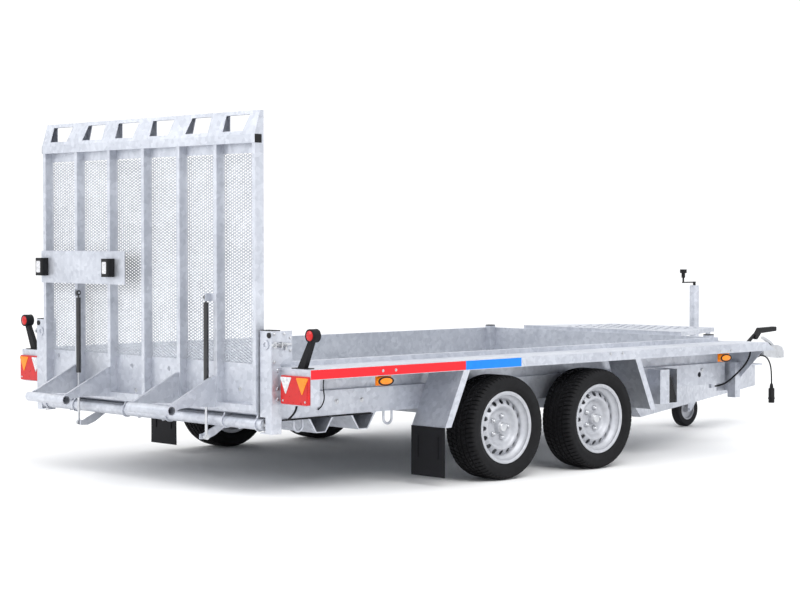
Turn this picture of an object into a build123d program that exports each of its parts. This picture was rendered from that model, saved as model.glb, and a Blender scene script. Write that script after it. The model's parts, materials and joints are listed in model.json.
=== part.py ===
"""Tandem-axle plant trailer with a drop-down loading ramp, in millimetres.

X points forward, Y to the left and Z up. The origin is on the ground, under the middle of the overall length.
It stands on its four wheels and its jockey wheel, with the ramp upright.
"""
from build123d import *
from math import hypot, radians, tan
import os

os.makedirs("parts", exist_ok=True)

# Wheels
RIM_RADIUS = 182.0
TYRE_SECTION = 80.5
TYRE_WIDTH = 195.0
TYRE_GRIP = 27.0
WHEEL_INSET = 92.0
WHEELBASE = 710.0
BEAD_STEP = 17.0
SEAT_GAP = 0.3
RUNNING_GAP = 0.1
STUB_RADIUS = 20.0

# Bed
BED_LENGTH = 3340.0
BED_WIDTH = 1800.0
BED_REAR_OVERHANG = 1655.0
FENDER_CLEARANCE = 87.0
FENDER_RISE = 182.0
WALL_RISE = 22.0
WALL_DEPTH = 30.0
FLOOR_THICKNESS = 3.0
SHEET = 3.0
BEAM_RISE = 60.0
BEAM_HEIGHT = 120.0
BEAM_REACH = 55.0
BEAM_SHEET = 4.0

# Fenders, arches and mudflaps
RAIL_HEIGHT = 48.0
RAIL_LIP = 16.0
FENDER_NOSE = 195.0
NOSE_BEVEL = 70.0
ARCH_CLEARANCE = 32.5
ARCH_SLOPE = 150.0
REAR_ARCH_DROP = 80.0
FRONT_ARCH_DROP = 85.0
ARCH_FLANGE = 40.0
FLAP_HEIGHT = 244.0
FLAP_THICKNESS = 5.0

# Drawbar and coupling
DRAWBAR_LAP = 735.0
DRAWBAR_REACH = 1495.0
DRAWBAR_TIP_Y = 92.0
DRAWBAR_DEPTH = 162.0
DRAWBAR_WIDTH = 50.0
DRAWBAR_SHEET = 5.0
COUPLING_REACH = 400.0
COUPLING_RISE = 82.0
BALL_RADIUS = 25.0
SOCKET_CLEARANCE = 0.4

# Ramp
RAMP_SIDE_GAP = 23.0
RAMP_GAP = 27.0
RAMP_DEPTH = 50.0
RAMP_HEIGHT = 1416.0
LIP_HEIGHT = 112.0
RAMP_LEAN = 34.0
RAMP_BARS = 7
BAR_WIDTH = 24.0
BAR_SHEET = 3.0
FOOT_SHEET = 235.0
HINGE_DROP = 25.0
HINGE_BACK = 45.0
HINGE_RADIUS = 27.0
HINGE_WALL = 4.0
HINGE_TO_RAMP = 43.0
PROP_REACH = 351.0
PROP_RISE = 63.0
PROP_RADIUS = 24.0
SPRING_Y = 530.0
SPRING_BACK = 96.0
SPRING_RISE = 585.0
SPRING_DROP = 80.0
SPRING_STROKE = 150.0
CYLINDER_RADIUS = 12.5
ROD_RADIUS = 7.0
ROD_SHOWS = 255.0
EYE_RADIUS = 13.0
PIN_RADIUS = 5.0
NECK_RADIUS = 4.0

# Jockey wheel
JACK_BACK = 530.0
JACK_TUBE_RADIUS = 30.0
JACK_SHAFT_RADIUS = 24.0
JACK_RISE = 535.0
JACK_WHEEL_RADIUS = 110.0
JACK_WHEEL_WIDTH = 58.0
JACK_TRAIL = 95.0

# Heights that follow from the wheels upwards
TYRE_RADIUS = RIM_RADIUS + TYRE_SECTION
BEAD_RADIUS = RIM_RADIUS - BEAD_STEP
RIM_WIDTH = TYRE_WIDTH - TYRE_GRIP
FENDER_TOP = 2 * TYRE_RADIUS + FENDER_CLEARANCE
RAIL_FOOT = FENDER_TOP - RAIL_HEIGHT
WALL_TOP = FENDER_TOP + WALL_RISE
FLOOR_TOP = FENDER_TOP - FENDER_RISE
BEAM_TOP = FLOOR_TOP + BEAM_RISE
BEAM_BOTTOM = BEAM_TOP - BEAM_HEIGHT
DRAWBAR_TOP = BEAM_BOTTOM
COUPLING_AXIS_Z = DRAWBAR_TOP + COUPLING_RISE
HINGE_Z = BEAM_BOTTOM - HINGE_DROP
RAMP_FOOT = HINGE_Z + HINGE_TO_RAMP
RAMP_TOP = RAMP_FOOT + RAMP_HEIGHT
RAMP_KNEE = RAMP_TOP - LIP_HEIGHT

# Half widths that follow from the bed outwards
HALF_BED = BED_WIDTH / 2
WALL_OUTER_Y = HALF_BED + WALL_DEPTH
BEAM_OUTER_Y = HALF_BED + BEAM_REACH
TYRE_INNER_Y = HALF_BED + WHEEL_INSET
TYRE_OUTER_Y = TYRE_INNER_Y + TYRE_WIDTH
WHEEL_Y = TYRE_INNER_Y + TYRE_WIDTH / 2
HALF_RAMP = HALF_BED - RAMP_SIDE_GAP
RAMP_WIDTH = 2 * HALF_RAMP

# Everything lengthwise is measured from the middle between the axles, which lies AXLES_X from the origin.
BED_REAR_X = -BED_REAR_OVERHANG
BED_FRONT_X = BED_REAR_X + BED_LENGTH
BEAM_FRONT_X = BED_FRONT_X + WALL_DEPTH
FENDER_FRONT_X = BED_FRONT_X + FENDER_NOSE
NOSE_PLATE_X = FENDER_FRONT_X - NOSE_BEVEL - 20.0
ARCH_TOP_X = WHEELBASE / 2 + TYRE_RADIUS + ARCH_CLEARANCE
ARCH_FOOT_X = ARCH_TOP_X + ARCH_SLOPE
DRAWBAR_REAR_X = BED_FRONT_X - DRAWBAR_LAP
DRAWBAR_FRONT_X = BED_FRONT_X + DRAWBAR_REACH
COUPLING_NOSE_X = DRAWBAR_FRONT_X + COUPLING_REACH
JACK_X = DRAWBAR_FRONT_X - JACK_BACK
RAMP_FRONT_X = BED_REAR_X - RAMP_GAP
RAMP_REAR_X = RAMP_FRONT_X - RAMP_DEPTH
HINGE_X = BED_REAR_X - HINGE_BACK
PROP_X = BED_REAR_X - PROP_REACH
REAR_REACH = -PROP_X + PROP_RADIUS
AXLES_X = (REAR_REACH - COUPLING_NOSE_X) / 2


def at_x(x):
    """The X in the part's frame of a distance ahead of the middle between the axles."""
    return AXLES_X + x


def side_plane(y, x=0.0, z=0.0):
    """A plane seen from the right: local x is forward, local y is up, and it extrudes towards -Y."""
    return Plane(origin=(at_x(x), y, z), x_dir=(1, 0, 0), z_dir=(0, -1, 0))


def rear_plane(x):
    """A plane seen from the front: local x is +Y, local y is up, and it extrudes forward."""
    return Plane(origin=(at_x(x), 0, 0), x_dir=(0, 1, 0), z_dir=(1, 0, 0))


def block(x, y, z, mode=Mode.ADD):
    """Adds a box to the open part, between the two ends given for each axis."""
    with Locations((at_x(sum(x) / 2), sum(y) / 2, sum(z) / 2)):
        Box(abs(x[1] - x[0]), abs(y[1] - y[0]), abs(z[1] - z[0]), mode=mode)


def rod_y(x, y, z, radius, mode=Mode.ADD):
    """Adds a round bar along Y to the open part, between two values of y."""
    with Locations((at_x(x), sum(y) / 2, z)):
        Cylinder(radius, abs(y[1] - y[0]), rotation=(90, 0, 0), mode=mode)


def rod_x(x, y, z, radius, mode=Mode.ADD):
    """Adds a round bar along X to the open part, between two values of x."""
    with Locations((at_x(sum(x) / 2), y, z)):
        Cylinder(radius, abs(x[1] - x[0]), rotation=(0, 90, 0), mode=mode)


def rod_z(x, y, z, radius, mode=Mode.ADD):
    """Adds a round bar along Z to the open part, between two values of z."""
    with Locations((at_x(x), y, sum(z) / 2)):
        Cylinder(radius, abs(z[1] - z[0]), mode=mode)


def keep(part, name):
    """Names a finished piece and writes it."""
    part.label = name
    export_step(part, f"parts/{name}.step")


# Bed floor, notched at its front corners for the posts
CORNER_SIDE = 45.0
CORNER_RISE = 12.0
FLOOR_FOOT = FLOOR_TOP - FLOOR_THICKNESS
corner_xs = (BED_FRONT_X - CORNER_SIDE, BED_FRONT_X)
with BuildPart() as bed_floor:
    block((BED_REAR_X, BED_FRONT_X), (-HALF_BED, HALF_BED), (FLOOR_FOOT, FLOOR_TOP))
    for side in (-1, 1):
        corner_ys = (side * (HALF_BED - CORNER_SIDE), side * HALF_BED)
        block(corner_xs, corner_ys, (FLOOR_FOOT, FLOOR_TOP), Mode.SUBTRACT)
keep(bed_floor.part, "bed_floor")

# Bed walls: folded side walls whose skirts stand on the side beams, a front wall, and two front corner posts
with BuildPart() as bed_walls:
    with BuildSketch(rear_plane(BED_REAR_X)):
        with BuildLine():
            Polyline(
                (HALF_BED, BEAM_BOTTOM + BEAM_SHEET),
                (HALF_BED, WALL_TOP),
                (WALL_OUTER_Y, WALL_TOP),
                (WALL_OUTER_Y, BEAM_TOP),
                (WALL_OUTER_Y - SHEET, BEAM_TOP),
                (WALL_OUTER_Y - SHEET, WALL_TOP - SHEET),
                (HALF_BED + SHEET, WALL_TOP - SHEET),
                (HALF_BED + SHEET, BEAM_BOTTOM + BEAM_SHEET),
                close=True,
            )
        make_face()
    extrude(amount=BED_LENGTH)
    block(corner_xs, (HALF_BED - CORNER_SIDE, HALF_BED), (FLOOR_FOOT, WALL_TOP + CORNER_RISE))
    mirror(about=Plane.XZ)
    with BuildSketch(side_plane(HALF_BED + SHEET, BED_FRONT_X)):
        with BuildLine():
            Polyline(
                (0, FLOOR_FOOT),
                (0, WALL_TOP),
                (WALL_DEPTH, WALL_TOP),
                (WALL_DEPTH, WALL_TOP - WALL_DEPTH),
                (WALL_DEPTH - SHEET, WALL_TOP - WALL_DEPTH),
                (WALL_DEPTH - SHEET, WALL_TOP - SHEET),
                (SHEET, WALL_TOP - SHEET),
                (SHEET, FLOOR_FOOT),
                close=True,
            )
        make_face()
    extrude(amount=BED_WIDTH + 2 * SHEET)
keep(bed_walls.part, "bed_walls")

# Side beams: channels open inwards, each with a chock bracket, a lashing hole and a cable clip
CHOCK_SHARE = 0.293
CHOCK_X = ARCH_FOOT_X + CHOCK_SHARE * (NOSE_PLATE_X - ARCH_FOOT_X)
CHOCK_HALF = 75.0
CHOCK_DROP = 78.0
CHOCK_HEIGHT = 190.0
CHOCK_DEPTH = 90.0
CHOCK_COVER = 80.0
CHOCK_FOOT = BEAM_BOTTOM - CHOCK_DROP
LASHING_BACK = 207.0
LASHING_RADIUS = 15.0
CLIP_BACK = 55.0
CLIP_LENGTH = 30.0
CLIP_INSET = 17.0
CABLE_RADIUS = 5.0
CABLE_DROP = 16.0
with BuildPart() as side_beams:
    with BuildSketch(rear_plane(BED_REAR_X)):
        with BuildLine():
            Polyline(
                (HALF_BED, BEAM_BOTTOM),
                (BEAM_OUTER_Y, BEAM_BOTTOM),
                (BEAM_OUTER_Y, BEAM_TOP),
                (HALF_BED + SHEET, BEAM_TOP),
                (HALF_BED + SHEET, BEAM_TOP - BEAM_SHEET),
                (BEAM_OUTER_Y - BEAM_SHEET, BEAM_TOP - BEAM_SHEET),
                (BEAM_OUTER_Y - BEAM_SHEET, BEAM_BOTTOM + BEAM_SHEET),
                (HALF_BED, BEAM_BOTTOM + BEAM_SHEET),
                close=True,
            )
        make_face()
    extrude(amount=BEAM_FRONT_X - BED_REAR_X)
    web_ys = (BEAM_OUTER_Y - BEAM_SHEET - 1, BEAM_OUTER_Y + 1)
    web_z = (BEAM_TOP + BEAM_BOTTOM) / 2
    rod_y(BED_FRONT_X - LASHING_BACK, web_ys, web_z, LASHING_RADIUS, Mode.SUBTRACT)
    bracket_zs = (CHOCK_FOOT, CHOCK_FOOT + CHOCK_HEIGHT)
    bracket_ys = (BEAM_OUTER_Y, BEAM_OUTER_Y + CHOCK_DEPTH)
    block((CHOCK_X - CHOCK_HALF, CHOCK_X + CHOCK_HALF), (BEAM_OUTER_Y, BEAM_OUTER_Y + SHEET), bracket_zs)
    for x in (CHOCK_X - CHOCK_HALF, CHOCK_X + CHOCK_HALF - SHEET):
        block((x, x + SHEET), bracket_ys, bracket_zs)
    block((CHOCK_X - CHOCK_HALF, CHOCK_X + CHOCK_HALF), bracket_ys, (CHOCK_FOOT, CHOCK_FOOT + SHEET))
    block(
        (CHOCK_X - CHOCK_HALF, CHOCK_X - CHOCK_HALF + CHOCK_COVER),
        (BEAM_OUTER_Y + CHOCK_DEPTH - SHEET, BEAM_OUTER_Y + CHOCK_DEPTH),
        bracket_zs,
    )
    clip_x = BED_FRONT_X - CLIP_BACK
    clip_y = BEAM_OUTER_Y - CLIP_INSET
    block(
        (clip_x - CLIP_LENGTH, clip_x),
        (clip_y - 2 * CABLE_RADIUS, clip_y + 2 * CABLE_RADIUS),
        (BEAM_BOTTOM - CABLE_DROP - CABLE_RADIUS - 2, BEAM_BOTTOM),
    )
    mirror(about=Plane.XZ)
keep(side_beams.part, "side_beams")

# Cross members: channels under the floor, and hat sections under the side beams
BEARER_HEIGHT = FLOOR_TOP - FLOOR_THICKNESS - BEAM_BOTTOM
BEARER_WIDTH = 40.0
BEARER_COUNT = 7
HAT_DEPTH = 78.0
HAT_TOP_WIDTH = 170.0
HAT_FOOT_WIDTH = 60.0
HAT_SETBACKS = (255.0, 525.0)
with BuildPart() as cross_members:
    with BuildSketch(side_plane(HALF_BED)):
        bearer_pitch = (BED_LENGTH - 4 * BEARER_WIDTH) / (BEARER_COUNT - 1)
        for index in range(BEARER_COUNT):
            x = BED_REAR_X + 2 * BEARER_WIDTH + index * bearer_pitch
            with Locations((x, BEAM_BOTTOM + BEARER_HEIGHT / 2)):
                Rectangle(BEARER_WIDTH, BEARER_HEIGHT)
            with Locations((x + BEAM_SHEET, BEAM_BOTTOM + BEARER_HEIGHT / 2)):
                Rectangle(BEARER_WIDTH, BEARER_HEIGHT - 2 * BEAM_SHEET, mode=Mode.SUBTRACT)
    extrude(amount=BED_WIDTH)
    # Each row: half width at the top, half width at the foot, top, foot, and whether it is cut away
    hats = (
        (HAT_TOP_WIDTH / 2, HAT_FOOT_WIDTH / 2, 0.0, HAT_DEPTH, Mode.ADD),
        (
            HAT_TOP_WIDTH / 2 - 4 * BEAM_SHEET,
            HAT_FOOT_WIDTH / 2 - BEAM_SHEET,
            BEAM_SHEET,
            HAT_DEPTH - BEAM_SHEET,
            Mode.SUBTRACT,
        ),
    )
    for top_half, foot_half, top, foot, mode in hats:
        with BuildSketch(side_plane(BEAM_OUTER_Y)):
            for setback in HAT_SETBACKS:
                x = BED_REAR_X + setback
                with BuildLine():
                    Polyline(
                        (x - top_half, BEAM_BOTTOM - top),
                        (x + top_half, BEAM_BOTTOM - top),
                        (x + foot_half, BEAM_BOTTOM - foot),
                        (x - foot_half, BEAM_BOTTOM - foot),
                        close=True,
                    )
                make_face()
        extrude(amount=2 * BEAM_OUTER_Y, mode=mode)
keep(cross_members.part, "cross_members")

# Fenders: flat walkways with a deep outer rail, a bevelled nose and a lamp bracket at the rear
POST_CLEARANCE = 9.0
POST_WIDTH = 83.0
POST_INNER_Y = HALF_RAMP + POST_CLEARANCE
POST_OUTER_Y = POST_INNER_Y + POST_WIDTH
POST_REAR_X = RAMP_FRONT_X - 32.0
LAMP_REAR_X = BED_REAR_X - 10.0
LAMP_CHEEK = 55.0
LAMP_PLATE_HEIGHT = 170.0
LAMP_FOOT = FENDER_TOP - LAMP_PLATE_HEIGHT
with BuildPart() as fenders:
    with BuildSketch(rear_plane(BED_REAR_X)):
        with BuildLine():
            Polyline(
                (WALL_OUTER_Y, FENDER_TOP),
                (TYRE_OUTER_Y, FENDER_TOP),
                (TYRE_OUTER_Y, RAIL_FOOT),
                (TYRE_OUTER_Y - RAIL_LIP, RAIL_FOOT),
                (TYRE_OUTER_Y - RAIL_LIP, RAIL_FOOT + SHEET),
                (TYRE_OUTER_Y - SHEET, RAIL_FOOT + SHEET),
                (TYRE_OUTER_Y - SHEET, FENDER_TOP - SHEET),
                (WALL_OUTER_Y, FENDER_TOP - SHEET),
                close=True,
            )
        make_face()
    extrude(amount=FENDER_FRONT_X - BED_REAR_X)
    with BuildSketch(side_plane(TYRE_OUTER_Y)):
        with BuildLine():
            Polyline(
                (FENDER_FRONT_X - NOSE_BEVEL, FENDER_TOP),
                (FENDER_FRONT_X, FENDER_TOP),
                (FENDER_FRONT_X, RAIL_FOOT),
                close=True,
            )
        make_face()
    extrude(amount=TYRE_OUTER_Y - HALF_BED, mode=Mode.SUBTRACT)
    rail_ys = (TYRE_OUTER_Y - SHEET, TYRE_OUTER_Y)
    block((LAMP_REAR_X, LAMP_REAR_X + SHEET), (POST_OUTER_Y, TYRE_OUTER_Y), (LAMP_FOOT, FENDER_TOP))
    flange_ys = (POST_OUTER_Y, POST_OUTER_Y + SHEET)
    block((POST_REAR_X + 2, LAMP_REAR_X), flange_ys, (LAMP_FOOT, FENDER_TOP))
    block((LAMP_REAR_X + SHEET, LAMP_REAR_X + LAMP_CHEEK), rail_ys, (LAMP_FOOT, RAIL_FOOT))
    block((LAMP_REAR_X + SHEET, BED_REAR_X), rail_ys, (RAIL_FOOT, FENDER_TOP))
    block((LAMP_REAR_X + SHEET, BED_REAR_X), (POST_OUTER_Y, TYRE_OUTER_Y), (FENDER_TOP - SHEET, FENDER_TOP))
    mirror(about=Plane.XZ)
keep(fenders.part, "fenders")

# Fender plates: sloping arch ends flanged along their outer edge, gussets under the noses, and the nose posts
ARCH_ENDS = ((-1, BEAM_BOTTOM - REAR_ARCH_DROP), (1, BEAM_BOTTOM - FRONT_ARCH_DROP))
PLATE_TOP = FENDER_TOP - SHEET
GUSSET_FOOT = BEAM_BOTTOM - 50.0
NOSE_POST_DEPTH = 48.0
NOSE_POST_WIDTH = 55.0
NOSE_POST_DROP = 83.0
with BuildPart() as fender_plates:
    for way, foot_z in ARCH_ENDS:
        lean = ARCH_SLOPE / (PLATE_TOP - foot_z)
        rail_x = ARCH_TOP_X + lean * (PLATE_TOP - RAIL_FOOT)
        # Each row: outer y, inner y, top x, top z, foot x, foot z, and how far the face reaches back
        pieces = (
            (TYRE_OUTER_Y - RAIL_LIP, BEAM_OUTER_Y, ARCH_TOP_X, PLATE_TOP, rail_x, RAIL_FOOT, 0.0),
            (TYRE_OUTER_Y - SHEET, BEAM_OUTER_Y, rail_x, RAIL_FOOT, ARCH_FOOT_X, foot_z, 0.0),
            (TYRE_OUTER_Y, TYRE_OUTER_Y - SHEET, rail_x, RAIL_FOOT, ARCH_FOOT_X, foot_z, ARCH_FLANGE),
        )
        for outer_y, inner_y, top_x, top_z, foot_x, foot, reach in pieces:
            with BuildSketch(side_plane(outer_y)):
                with BuildLine():
                    Polyline(
                        (way * (top_x - reach), top_z),
                        (way * (foot_x - reach), foot),
                        (way * (foot_x + SHEET), foot),
                        (way * (top_x + SHEET), top_z),
                        close=True,
                    )
                make_face()
            extrude(amount=outer_y - inner_y)
    with BuildSketch(rear_plane(NOSE_PLATE_X)):
        with BuildLine():
            Polyline(
                (TYRE_OUTER_Y - RAIL_LIP - SHEET, PLATE_TOP),
                (TYRE_OUTER_Y - RAIL_LIP - SHEET, RAIL_FOOT - SHEET),
                (BEAM_OUTER_Y - BEAM_REACH / 2, GUSSET_FOOT),
                (HALF_BED - BEAM_REACH, GUSSET_FOOT),
                (HALF_BED - BEAM_REACH, PLATE_TOP),
                close=True,
            )
        make_face()
    extrude(amount=SHEET)
    block((BEAM_FRONT_X, NOSE_PLATE_X), (HALF_BED - SHEET, HALF_BED), (GUSSET_FOOT, BEAM_TOP))
    post_zs = (BEAM_BOTTOM - NOSE_POST_DROP, BEAM_TOP)
    post_ys = (BEAM_OUTER_Y, BEAM_OUTER_Y + NOSE_POST_WIDTH)
    block((NOSE_PLATE_X - NOSE_POST_DEPTH, NOSE_PLATE_X), post_ys, post_zs)
    block(
        (NOSE_PLATE_X - NOSE_POST_DEPTH + SHEET, NOSE_PLATE_X - SHEET),
        (BEAM_OUTER_Y, BEAM_OUTER_Y + NOSE_POST_WIDTH - SHEET),
        post_zs,
        Mode.SUBTRACT,
    )
    mirror(about=Plane.XZ)
keep(fender_plates.part, "fender_plates")

# Mudflaps behind the rear wheels, hung on the rear arch plates
FLAP_X = -ARCH_FOOT_X - SHEET - FLAP_THICKNESS
FLAP_TOP = ARCH_ENDS[0][1]
FLAP_RIB = 4.0
FLAP_RIB_LENGTH = 110.0
FLAP_RIB_PITCH = 70.0
FLAP_OUTER_Y = TYRE_OUTER_Y
with BuildPart() as mudflaps:
    block((FLAP_X, FLAP_X + FLAP_THICKNESS), (BEAM_OUTER_Y, FLAP_OUTER_Y), (FLAP_TOP - FLAP_HEIGHT, FLAP_TOP))
    for index in (-1, 1):
        rib_y = (BEAM_OUTER_Y + FLAP_OUTER_Y) / 2 + index * FLAP_RIB_PITCH
        rib_zs = (FLAP_TOP - 45.0 - FLAP_RIB_LENGTH, FLAP_TOP - 45.0)
        block((FLAP_X - FLAP_RIB, FLAP_X), (rib_y - FLAP_RIB, rib_y + FLAP_RIB), rib_zs)
    mirror(about=Plane.XZ)
keep(mudflaps.part, "mudflaps")

# Rear posts: box sections outside the ramp, notched round the hinge tube's ends, each with a bolt eye
POST_RISE = 437.0
POST_DROP = 41.0
POST_FOOT = HINGE_Z - POST_DROP
POST_TOP = HINGE_Z + POST_RISE
HINGE_END_Y = POST_INNER_Y + 18.0
WASHER_RADIUS = 31.0
WASHER_THICKNESS = 4.0
LATCH_DROP = 64.0
LATCH_Z = POST_TOP - LATCH_DROP
EYE_THICKNESS = 5.0
with BuildPart() as rear_posts:
    block((POST_REAR_X, BED_REAR_X - SHEET), (POST_INNER_Y, POST_OUTER_Y), (POST_FOOT, POST_TOP))
    with BuildSketch(Plane.XY.offset(POST_FOOT)):
        with Locations((at_x((POST_REAR_X + BED_REAR_X - SHEET) / 2), (POST_INNER_Y + POST_OUTER_Y) / 2)):
            Rectangle(
                BED_REAR_X - SHEET - POST_REAR_X - 2 * BEAM_SHEET,
                POST_OUTER_Y - POST_INNER_Y - 2 * BEAM_SHEET,
            )
    extrude(amount=POST_TOP - POST_FOOT - BEAM_SHEET, mode=Mode.SUBTRACT)
    block(
        (POST_REAR_X - 1, HINGE_X + WASHER_RADIUS + 5),
        (POST_INNER_Y - 1, HINGE_END_Y + 5 * WASHER_THICKNESS),
        (HINGE_Z - WASHER_RADIUS - 5, HINGE_Z + WASHER_RADIUS + 5),
        Mode.SUBTRACT,
    )
    block((BED_REAR_X - SHEET, BED_REAR_X), (POST_INNER_Y, POST_OUTER_Y), (POST_FOOT, FENDER_TOP))
    eye_y = (POST_INNER_Y + POST_OUTER_Y) / 2
    rod_x((POST_REAR_X - EYE_THICKNESS, POST_REAR_X), eye_y, LATCH_Z, 23)
    rod_x((POST_REAR_X - EYE_THICKNESS, POST_REAR_X), eye_y, LATCH_Z, 11, Mode.SUBTRACT)
    mirror(about=Plane.XZ)
keep(rear_posts.part, "rear_posts")

# Ramp latches: sliding bolts in two brackets on the outside of the posts
LATCH_RADIUS = 7.0
LATCH_LENGTH = 112.0
LATCH_BRACKET = 22.0
latch_y = POST_OUTER_Y + LATCH_BRACKET / 2
with BuildPart() as ramp_latches:
    for x in (POST_REAR_X + 6, BED_REAR_X - 16):
        block((x, x + 8), (POST_OUTER_Y, POST_OUTER_Y + LATCH_BRACKET), (LATCH_Z - 14, LATCH_Z + 14))
    rod_x((POST_REAR_X - 4, POST_REAR_X - 4 + LATCH_LENGTH), latch_y, LATCH_Z, LATCH_RADIUS)
    rod_z(BED_REAR_X + 20, latch_y, (LATCH_Z - 26, LATCH_Z), LATCH_RADIUS - 2)
    mirror(about=Plane.XZ)
keep(ramp_latches.part, "ramp_latches")

# Rear sill: channel under the floor's rear edge, the hinge tube on its lugs, and the arms of the gas springs
BAR_PITCH = (RAMP_WIDTH - BAR_WIDTH) / (RAMP_BARS - 1)
SILL_DEPTH = 60.0
SILL_FOOT = BEAM_BOTTOM - 55.0
LUG_THICKNESS = 8.0
SPRING_FROM_BAR = 47.0
SPRING_Y = 2 * BAR_PITCH - SPRING_FROM_BAR
ARM_Y = SPRING_Y - 33.0
SPRING_X = BED_REAR_X - SPRING_BACK
SPRING_TOP_Z = HINGE_Z + SPRING_RISE
SPRING_FOOT_Z = HINGE_Z - SPRING_DROP
sill_lugs = [share * BAR_PITCH for share in (-2.43, -0.35, 0.35, 2.43)]
with BuildPart() as rear_sill:
    with BuildSketch(side_plane(HALF_BED)):
        with Locations((BED_REAR_X + SILL_DEPTH / 2, (SILL_FOOT + BEAM_BOTTOM) / 2)):
            Rectangle(SILL_DEPTH, BEAM_BOTTOM - SILL_FOOT)
        with Locations((BED_REAR_X + SILL_DEPTH / 2 + BEAM_SHEET, (SILL_FOOT + BEAM_BOTTOM) / 2)):
            Rectangle(SILL_DEPTH, BEAM_BOTTOM - SILL_FOOT - 2 * BEAM_SHEET, mode=Mode.SUBTRACT)
    extrude(amount=BED_WIDTH)
    for lug_y in sill_lugs:
        with BuildSketch(side_plane(lug_y + LUG_THICKNESS / 2)):
            with BuildLine():
                Polyline(
                    (BED_REAR_X, SILL_FOOT),
                    (BED_REAR_X, BEAM_BOTTOM - 6),
                    (HINGE_X, HINGE_Z + 10),
                    (HINGE_X, HINGE_Z - 10),
                    (HINGE_X + 12, HINGE_Z - HINGE_RADIUS - 8),
                    close=True,
                )
            make_face()
        extrude(amount=LUG_THICKNESS)
    for side in (-1, 1):
        with BuildSketch(side_plane(side * ARM_Y + LUG_THICKNESS / 2)):
            with BuildLine():
                Polyline(
                    (BED_REAR_X + SILL_DEPTH, SILL_FOOT),
                    (BED_REAR_X, SILL_FOOT),
                    (BED_REAR_X, HINGE_Z - 12),
                    (BED_REAR_X - 16, HINGE_Z - HINGE_RADIUS - 6),
                    (SPRING_X + 26, SPRING_FOOT_Z + 24),
                    (SPRING_X + 6, SPRING_FOOT_Z + 14),
                    (SPRING_X - 14, SPRING_FOOT_Z + 12),
                    (SPRING_X - 14, SPRING_FOOT_Z - 12),
                    (SPRING_X + 30, SPRING_FOOT_Z - 14),
                    (SPRING_X + 76, SPRING_FOOT_Z + 2),
                    (BED_REAR_X + 10, SILL_FOOT - 30),
                    close=True,
                )
            make_face()
        extrude(amount=LUG_THICKNESS)
    tube_ys = (-HINGE_END_Y, HINGE_END_Y)
    rod_y(HINGE_X, tube_ys, HINGE_Z, HINGE_RADIUS)
    rod_y(HINGE_X, tube_ys, HINGE_Z, HINGE_RADIUS - HINGE_WALL, Mode.SUBTRACT)
    for side in (-1, 1):
        washer_y = side * (HINGE_END_Y + WASHER_THICKNESS)
        rod_y(HINGE_X, (side * HINGE_END_Y, washer_y), HINGE_Z, WASHER_RADIUS)
        rod_y(HINGE_X, (washer_y, washer_y + side * 2.5 * WASHER_THICKNESS), HINGE_Z, 11)
keep(rear_sill.part, "rear_sill")

# Ramp frame: bars between a knee tube and a foot rail, plain sheet at the foot, hinge lugs, spring brackets
KNEE_SIDE = 40.0
KNEE_PROUD = 4.0
RAIL = 46.0
RAIL_ROUND = 20.0
RAMP_LUG = 10.0
RAMP_LUG_WALL = 7.0
MESH_THICKNESS = 3.0
MESH_SETBACK = 9.0
KNEE_STRIP = 45.0
MESH_X = RAMP_FRONT_X - MESH_SETBACK
SHEET_TOP = RAMP_FOOT + FOOT_SHEET
KNEE_FOOT = RAMP_KNEE - KNEE_SIDE
MESH_TOP = KNEE_FOOT - KNEE_STRIP
BAY_WIDTH = BAR_PITCH - BAR_WIDTH
bar_ys = [(index - (RAMP_BARS - 1) / 2) * BAR_PITCH for index in range(RAMP_BARS)]
bay_ys = [bar_y + BAR_PITCH / 2 for bar_y in bar_ys[:-1]]
ramp_lugs = [share * BAR_PITCH for share in (-2.15, -0.62, 0.62, 2.15)] + [12 - HALF_RAMP, HALF_RAMP - 12]
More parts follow.
